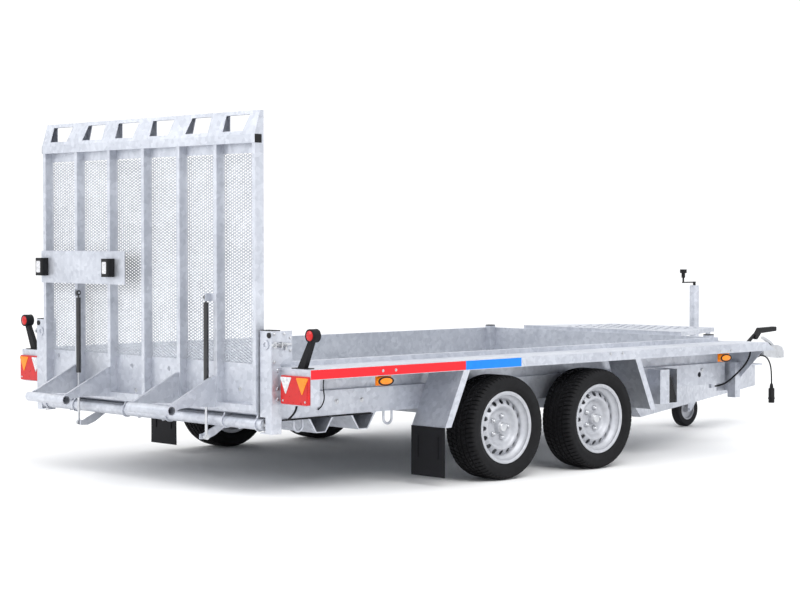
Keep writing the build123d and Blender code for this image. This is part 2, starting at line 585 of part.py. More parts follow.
# Each row: the bay counted from the right, the shift as a share of its width, and the height over the foot
DRAIN_HOLES = (
    (0, 0.04, 112.0),
    (1, -0.12, 182.0),
    (2, -0.05, 182.0),
    (3, 0.02, 182.0),
    (3, -0.10, 60.0),
    (5, 0.30, 206.0),
)
DRAIN_RADIUS = 12.0
with BuildPart() as ramp_frame:
    with BuildSketch(Plane.XY.offset(RAMP_FOOT + RAIL)):
        for bar_y in bar_ys:
            with Locations((at_x((RAMP_REAR_X + RAMP_FRONT_X) / 2), bar_y)):
                Rectangle(RAMP_DEPTH, BAR_WIDTH)
                Rectangle(RAMP_DEPTH - 2 * BAR_SHEET, BAR_WIDTH - 2 * BAR_SHEET, mode=Mode.SUBTRACT)
    extrude(amount=KNEE_FOOT - RAMP_FOOT - RAIL)
    with BuildSketch(side_plane(HALF_RAMP)):
        with BuildLine():
            Polyline(
                (RAMP_REAR_X, RAMP_FOOT + RAIL),
                (RAMP_REAR_X, RAMP_FOOT + RAIL_ROUND),
                (RAMP_REAR_X + RAIL_ROUND / 3, RAMP_FOOT + RAIL_ROUND / 3),
                (RAMP_REAR_X + RAIL_ROUND, RAMP_FOOT),
                (RAMP_FRONT_X, RAMP_FOOT),
                (RAMP_FRONT_X, RAMP_FOOT + RAIL),
                close=True,
            )
        make_face()
    extrude(amount=RAMP_WIDTH)
    block(
        (RAMP_REAR_X - KNEE_PROUD, RAMP_FRONT_X),
        (-HALF_RAMP, HALF_RAMP),
        (KNEE_FOOT, RAMP_KNEE),
    )
    for bay_y in bay_ys:
        bay = (bay_y - BAY_WIDTH / 2, bay_y + BAY_WIDTH / 2)
        block((MESH_X, MESH_X + MESH_THICKNESS), bay, (RAMP_FOOT + RAIL, SHEET_TOP))
        block((MESH_X, MESH_X + MESH_THICKNESS), bay, (MESH_TOP, KNEE_FOOT))
    for bay, share, rise in DRAIN_HOLES:
        hole_y = bay_ys[bay] + share * BAY_WIDTH
        hole_xs = (MESH_X - 1, MESH_X + MESH_THICKNESS + 1)
        rod_x(hole_xs, hole_y, RAMP_FOOT + rise, DRAIN_RADIUS, Mode.SUBTRACT)
    for lug_y in ramp_lugs:
        with BuildSketch(side_plane(lug_y + RAMP_LUG / 2)):
            with BuildLine():
                Polyline(
                    (HINGE_X - HINGE_RADIUS + 3, HINGE_Z),
                    (RAMP_REAR_X + RAIL_ROUND, RAMP_FOOT),
                    (RAMP_FRONT_X, RAMP_FOOT),
                    (HINGE_X + HINGE_RADIUS - 3, HINGE_Z),
                    close=True,
                )
            make_face()
            with Locations((HINGE_X, HINGE_Z)):
                Circle(HINGE_RADIUS + RAMP_LUG_WALL)
                Circle(HINGE_RADIUS + SEAT_GAP, mode=Mode.SUBTRACT)
        extrude(amount=RAMP_LUG)
    for side in (-1, 1):
        bracket_zs = (SPRING_TOP_Z - 18, SPRING_TOP_Z + 18)
        outer_y = side * (2 * BAR_PITCH + BAR_WIDTH / 2)
        block((SPRING_X - 14, RAMP_REAR_X), (side * (SPRING_Y + 8), side * (SPRING_Y + 13)), bracket_zs)
        block((RAMP_REAR_X - 4, RAMP_REAR_X), (side * (SPRING_Y + 8), outer_y), bracket_zs)
        rod_y(SPRING_X, (side * (SPRING_Y - 9), side * (SPRING_Y + 10)), SPRING_TOP_Z, PIN_RADIUS)
keep(ramp_frame.part, "ramp_frame")

# Ramp mesh: one pierced panel in each bay
MESH_COLUMNS = 3
MESH_ROWS = 13
STRAND = 9.0
MESH_FRAME = 4.0
cell_width = (BAY_WIDTH - 2 * MESH_FRAME) / MESH_COLUMNS
cell_height = (MESH_TOP - SHEET_TOP - 2 * MESH_FRAME) / MESH_ROWS
with BuildPart() as mesh_panel:
    with BuildSketch(rear_plane(MESH_X)):
        with Locations((bay_ys[0], (SHEET_TOP + MESH_TOP) / 2)):
            Rectangle(BAY_WIDTH, MESH_TOP - SHEET_TOP)
            with GridLocations(cell_width, cell_height, MESH_COLUMNS, MESH_ROWS):
                Polygon(
                    (0, cell_height / 2 - STRAND / 2),
                    (-cell_width / 2 + STRAND / 2, 0),
                    (0, -cell_height / 2 + STRAND / 2),
                    (cell_width / 2 - STRAND / 2, 0),
                    mode=Mode.SUBTRACT,
                )
    extrude(amount=MESH_THICKNESS)
with BuildPart() as ramp_mesh:
    with Locations([(0, index * BAR_PITCH, 0) for index in range(RAMP_BARS - 1)]):
        add(mesh_panel.part)
keep(ramp_mesh.part, "ramp_mesh")

# Ramp lip: hollow wedge of a leaning sheet and an upright sheet, pierced right through in every bay
LIP_SHEET = 3.0
HOLE_MARGIN = 18.0
HOLE_NARROW = 150.0
HOLE_WIDE = 176.0
LIP_REAR_X = RAMP_REAR_X - KNEE_PROUD
# Each row: the bay counted from the right, and whether its slanted side is on the left and widens downwards
LIP_SLANTS = ((0, False), (1, True), (2, False), (3, False), (4, True), (5, False))
with BuildPart() as ramp_lip:
    with BuildSketch(side_plane(HALF_RAMP)):
        with BuildLine():
            Polyline(
                (LIP_REAR_X, RAMP_KNEE),
                (LIP_REAR_X + RAMP_LEAN, RAMP_TOP),
                (RAMP_FRONT_X, RAMP_TOP),
                (RAMP_FRONT_X, RAMP_KNEE),
                close=True,
            )
        make_face()
    extrude(amount=RAMP_WIDTH)
    lip_lean = RAMP_LEAN / (RAMP_TOP - RAMP_KNEE)
    with BuildSketch(side_plane(HALF_RAMP - LIP_SHEET)):
        with BuildLine():
            Polyline(
                (LIP_REAR_X + LIP_SHEET, RAMP_KNEE),
                (LIP_REAR_X + LIP_SHEET + RAMP_LEAN - lip_lean * LIP_SHEET, RAMP_TOP - LIP_SHEET),
                (RAMP_FRONT_X - LIP_SHEET, RAMP_TOP - LIP_SHEET),
                (RAMP_FRONT_X - LIP_SHEET, RAMP_KNEE),
                close=True,
            )
        make_face()
    extrude(amount=RAMP_WIDTH - 2 * LIP_SHEET, mode=Mode.SUBTRACT)
    with BuildSketch(rear_plane(LIP_REAR_X - 1)):
        hole_foot = RAMP_KNEE + HOLE_MARGIN
        hole_top = RAMP_TOP - HOLE_MARGIN
        for bay, flared in LIP_SLANTS:
            left_y = bay_ys[bay] + HOLE_WIDE / 2
            right_y = bay_ys[bay] - HOLE_WIDE / 2
            gain = HOLE_WIDE - HOLE_NARROW
            if flared:
                left_top = (left_y - gain, hole_top)
                corners = ((right_y, hole_foot), (left_y, hole_foot), left_top, (right_y, hole_top))
            else:
                right_foot = (right_y + gain, hole_foot)
                corners = (right_foot, (left_y, hole_foot), (left_y, hole_top), (right_y, hole_top))
            with BuildLine():
                Polyline(*corners, close=True)
            make_face()
    extrude(amount=RAMP_DEPTH + KNEE_PROUD + 2, mode=Mode.SUBTRACT)
keep(ramp_lip.part, "ramp_lip")

# Ramp caps: black end caps of the knee tube
CAP_THICKNESS = 3.0
with BuildPart() as ramp_caps:
    cap_x = (RAMP_REAR_X - KNEE_PROUD, RAMP_REAR_X - KNEE_PROUD + KNEE_SIDE)
    block(cap_x, (HALF_RAMP, HALF_RAMP + CAP_THICKNESS), (KNEE_FOOT, RAMP_KNEE))
    mirror(about=Plane.XZ)
keep(ramp_caps.part, "ramp_caps")

# Ramp props: a tube on two flanged gussets each side, which swing down to the ground as the ramp opens
GUSSET_THICKNESS = 6.0
GUSSET_RISE = 172.0
GUSSET_FLANGE = 15.0
PROP_INNER_Y = BAR_PITCH - 24.0
PROP_OUTER_Y = 2 * BAR_PITCH + 20.0
PROP_Z = HINGE_Z + PROP_RISE
with BuildPart() as ramp_props:
    rod_y(PROP_X, (PROP_INNER_Y, PROP_OUTER_Y), PROP_Z, PROP_RADIUS)
    rod_y(PROP_X, (PROP_INNER_Y, PROP_OUTER_Y), PROP_Z, PROP_RADIUS - HINGE_WALL, Mode.SUBTRACT)
    for gusset_y in (BAR_PITCH, 2 * BAR_PITCH):
        with BuildSketch(side_plane(gusset_y + GUSSET_THICKNESS / 2)):
            with BuildLine():
                Polyline(
                    (RAMP_REAR_X, RAMP_FOOT + 22),
                    (RAMP_REAR_X, RAMP_FOOT + GUSSET_RISE),
                    (RAMP_REAR_X - 12, RAMP_FOOT + GUSSET_RISE),
                    (PROP_X - 6, PROP_Z + PROP_RADIUS - 4),
                    (PROP_X - 10, PROP_Z - PROP_RADIUS + 4),
                    (PROP_X + 60, PROP_Z + 4),
                    (PROP_X + 130, PROP_Z + 12),
                    (RAMP_REAR_X - 60, RAMP_FOOT + 26),
                    close=True,
                )
            make_face()
            with Locations((PROP_X, PROP_Z)):
                Circle(PROP_RADIUS - 1, mode=Mode.SUBTRACT)
        extrude(amount=GUSSET_THICKNESS)
        with BuildSketch(side_plane(gusset_y + GUSSET_THICKNESS / 2)):
            with BuildLine():
                Polyline(
                    (RAMP_REAR_X, RAMP_FOOT + GUSSET_RISE - 4),
                    (RAMP_REAR_X, RAMP_FOOT + GUSSET_RISE),
                    (RAMP_REAR_X - 12, RAMP_FOOT + GUSSET_RISE),
                    (PROP_X + 14, PROP_Z + PROP_RADIUS + 6),
                    (PROP_X + 14, PROP_Z + PROP_RADIUS + 2),
                    (RAMP_REAR_X - 12, RAMP_FOOT + GUSSET_RISE - 4),
                    close=True,
                )
            make_face()
        extrude(amount=GUSSET_FLANGE)
    mirror(about=Plane.XZ)
keep(ramp_props.part, "ramp_props")

# Gas springs: cylinder pinned to the ramp above, rod's eye beside the sill's arm below
CYLINDER_FOOT_Z = SPRING_FOOT_Z + ROD_SHOWS
ROD_TOP_Z = CYLINDER_FOOT_Z + SPRING_STROKE
for side, name in ((1, "left"), (-1, "right")):
    spring_y = side * SPRING_Y
    with BuildPart() as gas_cylinder:
        rod_z(SPRING_X, spring_y, (CYLINDER_FOOT_Z, SPRING_TOP_Z - 24), CYLINDER_RADIUS)
        rod_z(SPRING_X, spring_y, (SPRING_TOP_Z - 24, SPRING_TOP_Z - 8), NECK_RADIUS)
        rod_y(SPRING_X, (spring_y - 5, spring_y + 5), SPRING_TOP_Z, EYE_RADIUS)
        rod_y(SPRING_X, (spring_y - 5, spring_y + 5), SPRING_TOP_Z, PIN_RADIUS + SEAT_GAP, Mode.SUBTRACT)
        bore_zs = (CYLINDER_FOOT_Z, ROD_TOP_Z + SPRING_STROKE + 5)
        rod_z(SPRING_X, spring_y, bore_zs, ROD_RADIUS + SEAT_GAP, Mode.SUBTRACT)
    keep(gas_cylinder.part, f"gas_cylinder_{name}")
    with BuildPart() as gas_rod:
        rod_z(SPRING_X, spring_y, (SPRING_FOOT_Z, ROD_TOP_Z), ROD_RADIUS)
        rod_y(SPRING_X, (spring_y - 8, spring_y + 8), SPRING_FOOT_Z, EYE_RADIUS)
        inner = side * (ARM_Y + LUG_THICKNESS / 2 + SEAT_GAP)
        rod_y(SPRING_X, (inner, spring_y), SPRING_FOOT_Z, PIN_RADIUS)
    keep(gas_rod.part, f"gas_rod_{name}")

# Number plate holder: bare folded board on the ramp with a raised pad, and a lamp at each end
BOARD_WIDTH = 740.0
BOARD_HEIGHT = 167.0
BOARD_RISE = 590.0
BOARD_SHIFT = 480.0
BOARD_DEPTH = 30.0
BOARD_SHEET = 2.0
BOARD_X = RAMP_REAR_X - BOARD_DEPTH
BOARD_FOOT = RAMP_FOOT + BOARD_RISE
BOARD_TOP = BOARD_FOOT + BOARD_HEIGHT
BOARD_LEFT_Y = BOARD_SHIFT + BOARD_WIDTH / 2
BOARD_RIGHT_Y = BOARD_SHIFT - BOARD_WIDTH / 2
PAD_WIDTH = 520.0
PAD_HEIGHT = 110.0
PAD_THICKNESS = 1.5
PAD_SHIFT = 522.0
BOARD_Z = (BOARD_FOOT + BOARD_TOP) / 2
with BuildPart() as plate_holder:
    block((BOARD_X, BOARD_X + BOARD_SHEET), (BOARD_RIGHT_Y, BOARD_LEFT_Y), (BOARD_FOOT, BOARD_TOP))
    for edge_z in (BOARD_FOOT, BOARD_TOP - BOARD_SHEET):
        block((BOARD_X, RAMP_REAR_X), (BOARD_RIGHT_Y, BOARD_LEFT_Y), (edge_z, edge_z + BOARD_SHEET))
    block(
        (BOARD_X - PAD_THICKNESS, BOARD_X),
        (PAD_SHIFT - PAD_WIDTH / 2, PAD_SHIFT + PAD_WIDTH / 2),
        (BOARD_Z - PAD_HEIGHT / 2, BOARD_Z + PAD_HEIGHT / 2),
    )
keep(plate_holder.part, "plate_holder")
LAMP_DEPTH = 42.0
LAMP_HEIGHT = 92.0
LAMP_WIDTH = 62.0
LAMP_CLEARANCE = 4.0
with BuildPart() as plate_lamps:
    left_lamp = PAD_SHIFT + PAD_WIDTH / 2 + LAMP_CLEARANCE
    right_lamp = PAD_SHIFT - PAD_WIDTH / 2 - LAMP_CLEARANCE
    for lamp_ys in ((left_lamp, left_lamp + LAMP_WIDTH), (right_lamp - LAMP_WIDTH, right_lamp)):
        lamp_zs = (BOARD_Z - LAMP_HEIGHT / 2, BOARD_Z + LAMP_HEIGHT / 2)
        block((BOARD_X - LAMP_DEPTH, BOARD_X), lamp_ys, lamp_zs)
    fillet(plate_lamps.edges().filter_by(Axis.Z).group_by(Axis.X)[0], 10)
keep(plate_lamps.part, "plate_lamps")

# Rear lamps, flat on their brackets
REAR_LAMP_WIDTH = 191.0
REAR_LAMP_HEIGHT = 132.0
REAR_LAMP_DEPTH = 14.0
REAR_LAMP_RISE = 6.0
with BuildPart() as rear_lamps:
    block(
        (LAMP_REAR_X - REAR_LAMP_DEPTH, LAMP_REAR_X),
        (TYRE_OUTER_Y - 3 - REAR_LAMP_WIDTH, TYRE_OUTER_Y - 3),
        (LAMP_FOOT + REAR_LAMP_RISE, LAMP_FOOT + REAR_LAMP_RISE + REAR_LAMP_HEIGHT),
    )
    fillet(rear_lamps.edges().filter_by(Axis.X), 8)
    mirror(about=Plane.XZ)
keep(rear_lamps.part, "rear_lamps")

# Outline markers: rubber arms that lean outwards, each with a round lamp that faces backwards and forwards
MARKER_X = BED_REAR_X + 16.0
MARKER_FOOT_Y = TYRE_OUTER_Y - 84.0
MARKER_LAMP_Y = TYRE_OUTER_Y - 13.0
MARKER_RISE = 154.0
MARKER_LAMP_Z = FENDER_TOP + MARKER_RISE
MARKER_RADIUS = 31.0
MARKER_PLATE = 4.0
with BuildPart() as outline_markers:
    with BuildSketch(rear_plane(MARKER_X - 12)):
        with BuildLine():
            Polyline(
                (MARKER_FOOT_Y - 24, FENDER_TOP + MARKER_PLATE),
                (MARKER_FOOT_Y + 24, FENDER_TOP + MARKER_PLATE),
                (MARKER_FOOT_Y + 25, FENDER_TOP + 2 * MARKER_PLATE),
                (MARKER_LAMP_Y + 6, MARKER_LAMP_Z - 26),
                (MARKER_LAMP_Y - 18, MARKER_LAMP_Z - 20),
                (MARKER_FOOT_Y - 22, FENDER_TOP + 2 * MARKER_PLATE),
                close=True,
            )
        make_face()
    extrude(amount=24)
    rod_x((MARKER_X - 16, MARKER_X + 16), MARKER_LAMP_Y, MARKER_LAMP_Z, MARKER_RADIUS)
    block(
        (MARKER_X - 26, MARKER_X + 26),
        (MARKER_FOOT_Y - 50, MARKER_FOOT_Y + 50),
        (FENDER_TOP, FENDER_TOP + MARKER_PLATE),
    )
    mirror(about=Plane.XZ)
keep(outline_markers.part, "outline_markers")

# Side markers: oval lamps on tabs under the rails
MARKER_SETBACK = 459.0
MARKER_SETFORE = 460.0
MARKER_HALF = 52.0
MARKER_DROP = 26.0
marker_z = RAIL_FOOT - MARKER_DROP
with BuildPart() as side_markers:
    for x in (BED_REAR_X + MARKER_SETBACK, FENDER_FRONT_X - MARKER_SETFORE):
        with BuildSketch(side_plane(TYRE_OUTER_Y, x, marker_z)):
            Ellipse(MARKER_HALF, MARKER_DROP - 3)
        extrude(amount=18)
        block((x - 50, x + 50), (TYRE_OUTER_Y - 21, TYRE_OUTER_Y - 18), (marker_z - 20, RAIL_FOOT + SHEET))
        marker_ys = (TYRE_OUTER_Y - 18, TYRE_OUTER_Y - RAIL_LIP)
        block((x - 50, x + 50), marker_ys, (marker_z - 20, RAIL_FOOT + SHEET))
    mirror(about=Plane.XZ)
keep(side_markers.part, "side_markers")

# Axle tubes on pads under the side beams
AXLE_LEAD = 150.0
AXLE_SIDE = 76.0
AXLE_PAD = 12.0
AXLE_WALL = 6.0
AXLE_END_Y = TYRE_INNER_Y - 57.0
AXLE_Z = BEAM_BOTTOM - AXLE_PAD - AXLE_SIDE / 2
with BuildPart() as axle_tubes:
    for wheel_x in (-WHEELBASE / 2, WHEELBASE / 2):
        x = wheel_x + AXLE_LEAD
        block(
            (x - AXLE_SIDE / 2, x + AXLE_SIDE / 2),
            (-AXLE_END_Y, AXLE_END_Y),
            (AXLE_Z - AXLE_SIDE / 2, AXLE_Z + AXLE_SIDE / 2),
        )
        block(
            (x - AXLE_SIDE / 2 + AXLE_WALL, x + AXLE_SIDE / 2 - AXLE_WALL),
            (-AXLE_END_Y, AXLE_END_Y),
            (AXLE_Z - AXLE_SIDE / 2 + AXLE_WALL, AXLE_Z + AXLE_SIDE / 2 - AXLE_WALL),
            mode=Mode.SUBTRACT,
        )
        for side in (-1, 1):
            block(
                (x - AXLE_SIDE, x + AXLE_SIDE),
                (side * HALF_BED, side * BEAM_OUTER_Y),
                (BEAM_BOTTOM - AXLE_PAD, BEAM_BOTTOM),
            )
keep(axle_tubes.part, "axle_tubes")

# Swing arms: trailing arm, brake backplate and stub axle for each wheel
ARM_THICKNESS = 26.0
BACKPLATE_Y = AXLE_END_Y + ARM_THICKNESS
BACKPLATE = 6.0
DRUM_RADIUS = 112.0
HUB_OUTER_Y = WHEEL_Y + 40.0
with BuildPart() as swing_arms:
    for wheel_x in (-WHEELBASE / 2, WHEELBASE / 2):
        with BuildSketch(side_plane(BACKPLATE_Y)):
            with Locations((wheel_x + AXLE_LEAD, AXLE_Z)):
                Circle(36)
            with Locations((wheel_x, TYRE_RADIUS)):
                Circle(34)
            make_hull()
        extrude(amount=ARM_THICKNESS)
        rod_y(wheel_x, (BACKPLATE_Y, BACKPLATE_Y + BACKPLATE), TYRE_RADIUS, DRUM_RADIUS + 4)
        rod_y(wheel_x, (BACKPLATE_Y, HUB_OUTER_Y), TYRE_RADIUS, STUB_RADIUS)
    mirror(about=Plane.XZ)
keep(swing_arms.part, "swing_arms")

# Wheels: tyre, and rim with its disc, hub and brake drum, revolved about the axle
HOLE_COUNT = 16
HOLE_RADIUS = 13.0
HOLE_CIRCLE = 126.0
BOLT_COUNT = 5
BOLT_CIRCLE = 56.0
BOLT_RADIUS = 11.0
BOLT_FACE = 28.0
RIM_SHEET = 4.0
SHOULDER = 26.0
corners = (
    ("rear_left", -1, 1),
    ("rear_right", -1, -1),
    ("front_left", 1, 1),
    ("front_right", 1, -1),
)
for name, end, side in corners:
    axle = Plane(
        origin=(at_x(end * WHEELBASE / 2), side * WHEEL_Y, TYRE_RADIUS),
        x_dir=(0, 0, 1),
        z_dir=(-side, 0, 0),
    )
    # In this plane local x is the radius and local y points outwards along the axle.
    spin = Axis((at_x(end * WHEELBASE / 2), 0, TYRE_RADIUS), (0, 1, 0))
    half = TYRE_WIDTH / 2
    rim = RIM_WIDTH / 2
    seat = BEAD_RADIUS + SEAT_GAP
    bead = rim - RIM_SHEET - SEAT_GAP
    barrel = BEAD_RADIUS - 5.0
    well = BEAD_RADIUS - 18.0
    with BuildPart() as tyre:
        with BuildSketch(axle):
            with BuildLine():
                Polyline(
                    (seat, -bead),
                    (RIM_RADIUS + 1, -bead),
                    (TYRE_RADIUS - SHOULDER, -half),
                    (TYRE_RADIUS, SHOULDER - half),
                    (TYRE_RADIUS, half - SHOULDER),
                    (TYRE_RADIUS - SHOULDER, half),
                    (RIM_RADIUS + 1, bead),
                    (seat, bead),
                    close=True,
                )
            make_face()
        revolve(axis=spin)
    keep(tyre.part, f"tyre_{name}")
    bore = STUB_RADIUS + RUNNING_GAP
    drum_back = TYRE_INNER_Y - WHEEL_Y - 14
    with BuildPart() as wheel:
        with BuildSketch(axle):
            with BuildLine():
                Polyline(
                    (RIM_RADIUS, -rim),
                    (RIM_RADIUS, RIM_SHEET - rim),
                    (BEAD_RADIUS, RIM_SHEET - rim),
                    (BEAD_RADIUS, -28),
                    (well, -10),
                    (well, 44),
                    (BEAD_RADIUS, 56),
                    (BEAD_RADIUS, rim - RIM_SHEET),
                    (RIM_RADIUS, rim - RIM_SHEET),
                    (RIM_RADIUS, rim),
                    (barrel, rim),
                    (barrel, 60),
                    (well - 5, 47),
                    (125, 50),
                    (112, 50),
                    (86, 32),
                    (75, BOLT_FACE),
                    (30, BOLT_FACE),
                    (27, 58),
                    (0, 60),
                    (0, 42),
                    (bore, 42),
                    (bore, drum_back),
                    (DRUM_RADIUS, drum_back),
                    (DRUM_RADIUS, -30),
                    (80, -22),
                    (80, 25),
                    (84, 27),
                    (111, 46),
                    (126, 46),
                    (well - 5, 42),
                    (well - 5, -8),
                    (barrel, -26),
                    (barrel, -rim),
                    close=True,
                )
            make_face()
        revolve(axis=spin)
        face_plane = Plane(
            origin=(at_x(end * WHEELBASE / 2), side * WHEEL_Y, TYRE_RADIUS),
            x_dir=(1, 0, 0),
            z_dir=(0, side, 0),
        )
        with BuildSketch(face_plane.offset(36)):
            with PolarLocations(HOLE_CIRCLE, HOLE_COUNT):
                Circle(HOLE_RADIUS)
        extrude(amount=20, mode=Mode.SUBTRACT)
        with BuildSketch(face_plane.offset(BOLT_FACE)):
            with PolarLocations(BOLT_CIRCLE, BOLT_COUNT):
                RegularPolygon(BOLT_RADIUS, 6)
        extrude(amount=14)
    keep(wheel.part, f"wheel_{name}")

# Drawbar beams: tapered channels that run from under the bed to the coupling
DRAWBAR_REAR_Y = HALF_BED + 15.0
DRAWBAR_BOTTOM = DRAWBAR_TOP - DRAWBAR_DEPTH
DRAWBAR_RISE = 26.0
DRAWBAR_TAIL = 110.0
DRAWBAR_HEEL = 90.0
beam_run = hypot(DRAWBAR_FRONT_X - DRAWBAR_REAR_X, DRAWBAR_REAR_Y - DRAWBAR_TIP_Y)
beam_dx = (DRAWBAR_FRONT_X - DRAWBAR_REAR_X) / beam_run
beam_dy = (DRAWBAR_REAR_Y - DRAWBAR_TIP_Y) / beam_run
drawbar_plane = Plane(
    origin=(at_x(DRAWBAR_REAR_X), -DRAWBAR_REAR_Y, 0),
    x_dir=(beam_dx, beam_dy, 0),
    z_dir=(beam_dy, -beam_dx, 0),
)


def drawbar_outline(inset):
    """The beam's side outline, drawn in by a wall thickness, as four corners and the cut tail."""
    front_foot = DRAWBAR_BOTTOM + DRAWBAR_RISE
    return (
        (inset - DRAWBAR_SHEET, DRAWBAR_TOP - inset),
        (inset - DRAWBAR_SHEET, DRAWBAR_TOP - DRAWBAR_HEEL),
        (DRAWBAR_TAIL, DRAWBAR_BOTTOM + inset),
        (beam_run + DRAWBAR_SHEET - inset, front_foot + inset),
        (beam_run + DRAWBAR_SHEET - inset, DRAWBAR_TOP - inset),
    )


def drawbar_y(x):
    """The left beam's outer face at a distance ahead of the middle between the axles."""
    return DRAWBAR_REAR_Y - (x - DRAWBAR_REAR_X) * beam_dy / beam_dx


with BuildPart() as drawbar_beams:
    with BuildSketch(drawbar_plane):
        with BuildLine():
            Polyline(*drawbar_outline(0), close=True)
        make_face()
    extrude(amount=-DRAWBAR_WIDTH)
    with BuildSketch(drawbar_plane.offset(-DRAWBAR_SHEET)):
        with BuildLine():
            Polyline(*drawbar_outline(DRAWBAR_SHEET), close=True)
        make_face()
    extrude(amount=-DRAWBAR_WIDTH, mode=Mode.SUBTRACT)
    mirror(about=Plane.XZ)
keep(drawbar_beams.part, "drawbar_beams")

# Step grating over the drawbar, on four legs that stand on the beams
STEP_TOP = WALL_TOP + 21.0
STEP_DEPTH = 620.0
STEP_REAR_X = BEAM_FRONT_X
STEP_FRONT_X = STEP_REAR_X + STEP_DEPTH
STEP_REAR_HALF = drawbar_y(STEP_REAR_X)
STEP_FRONT_HALF = drawbar_y(STEP_FRONT_X)
STEP_SHEET = 3.0
STEP_EDGE = 26.0
STEP_LEG = 6.0
SLOT_LENGTH = 90.0
SLOT_WIDTH = 22.0
SLOT_COLUMNS = 5
SLOT_ROWS = 12
SLOT_COLUMN_SHARE = 0.161
SLOT_ROW_SHARE = 0.049
with BuildPart() as step_grating:
    outline = [
        (at_x(STEP_REAR_X), -STEP_REAR_HALF),
        (at_x(STEP_FRONT_X), -STEP_FRONT_HALF),
        (at_x(STEP_FRONT_X), STEP_FRONT_HALF),
        (at_x(STEP_REAR_X), STEP_REAR_HALF),
    ]
    with BuildSketch(Plane.XY.offset(STEP_TOP - STEP_EDGE)) as step_outline:
        with BuildLine():
            Polyline(*outline, close=True)
        make_face()
    extrude(amount=STEP_EDGE)
    with BuildSketch(Plane.XY.offset(STEP_TOP - STEP_EDGE)):
        offset(step_outline.sketch, amount=-STEP_SHEET, kind=Kind.INTERSECTION)
    extrude(amount=STEP_EDGE - STEP_SHEET, mode=Mode.SUBTRACT)
    with BuildSketch(Plane.XY.offset(STEP_TOP - STEP_SHEET)):
        with Locations((at_x((STEP_REAR_X + STEP_FRONT_X) / 2), 0)):
            column_pitch = SLOT_COLUMN_SHARE * STEP_DEPTH
            row_pitch = 2 * SLOT_ROW_SHARE * STEP_REAR_HALF
            with GridLocations(column_pitch, row_pitch, SLOT_COLUMNS, SLOT_ROWS):
                Rectangle(SLOT_LENGTH, SLOT_WIDTH, rotation=45)
    extrude(amount=STEP_SHEET, mode=Mode.SUBTRACT)
    for leg_x in (STEP_REAR_X + 60, STEP_FRONT_X - 60):
        leg_y = drawbar_y(leg_x) - DRAWBAR_WIDTH / 2
        for side in (-1, 1):
            leg_ys = (side * leg_y - STEP_LEG / 2, side * leg_y + STEP_LEG / 2)
            block((leg_x - 20, leg_x + 20), leg_ys, (DRAWBAR_TOP, STEP_TOP - STEP_SHEET))
keep(step_grating.part, "step_grating")

# Overrun device on the drawbar's front end, with the clip that holds the lead
HOUSING_REAR_X = DRAWBAR_FRONT_X - 330.0
HOUSING_FRONT_X = DRAWBAR_FRONT_X + 40.0
HOUSING_WIDTH = 96.0
HOUSING_HEIGHT = 92.0
HOUSING_FLANGE = 10.0
LEAD_RADIUS = 5.0
LEAD_CLEARANCE = 7.0
LEAD_X = HOUSING_FRONT_X - 20.0
LEAD_Y = -HOUSING_WIDTH / 2 - LEAD_CLEARANCE - LEAD_RADIUS
LEAD_Z = COUPLING_AXIS_Z - 22.0
with BuildPart() as overrun_housing:
    with BuildSketch(rear_plane(HOUSING_REAR_X)):
        with Locations((0, COUPLING_AXIS_Z)):
            RectangleRounded(HOUSING_WIDTH, HOUSING_HEIGHT, 14)
        with Locations((0, (DRAWBAR_TOP + COUPLING_AXIS_Z) / 2)):
            Rectangle(HOUSING_WIDTH, COUPLING_AXIS_Z - DRAWBAR_TOP)
        with Locations((0, DRAWBAR_TOP + HOUSING_FLANGE / 2)):
            Rectangle(2 * DRAWBAR_TIP_Y + 60, HOUSING_FLANGE)
    extrude(amount=HOUSING_FRONT_X - HOUSING_REAR_X)
    clip_ys = (LEAD_Y - 2 * LEAD_RADIUS, 1 - HOUSING_WIDTH / 2)
    block((LEAD_X - 30, LEAD_X), clip_ys, (LEAD_Z - 2 * LEAD_RADIUS, LEAD_Z + 2 * LEAD_RADIUS))
keep(overrun_housing.part, "overrun_housing")

# Gaiter: folded rubber bellows between the housing and the coupling head
GAITER_LENGTH = 110.0
GAITER_FRONT_X = HOUSING_FRONT_X + GAITER_LENGTH
GAITER_FOLDS = 5
GAITER_RADIUS = 44.0
NECK = 34.0
with BuildPart() as gaiter:
    gaiter_foot = (at_x(HOUSING_FRONT_X), 0, COUPLING_AXIS_Z)
    with BuildSketch(Plane(origin=gaiter_foot, x_dir=(1, 0, 0), z_dir=(0, -1, 0))):
        fold = GAITER_LENGTH / GAITER_FOLDS
        crests = [(0, 0), (0, NECK)]
        for index in range(GAITER_FOLDS):
            crests += [((index + 0.5) * fold, GAITER_RADIUS), ((index + 1) * fold, NECK)]
        crests += [(GAITER_LENGTH, 0)]
        with BuildLine():
            Polyline(*crests, close=True)
        make_face()
    revolve(axis=Axis((0, 0, COUPLING_AXIS_Z), (1, 0, 0)))
keep(gaiter.part, "gaiter")

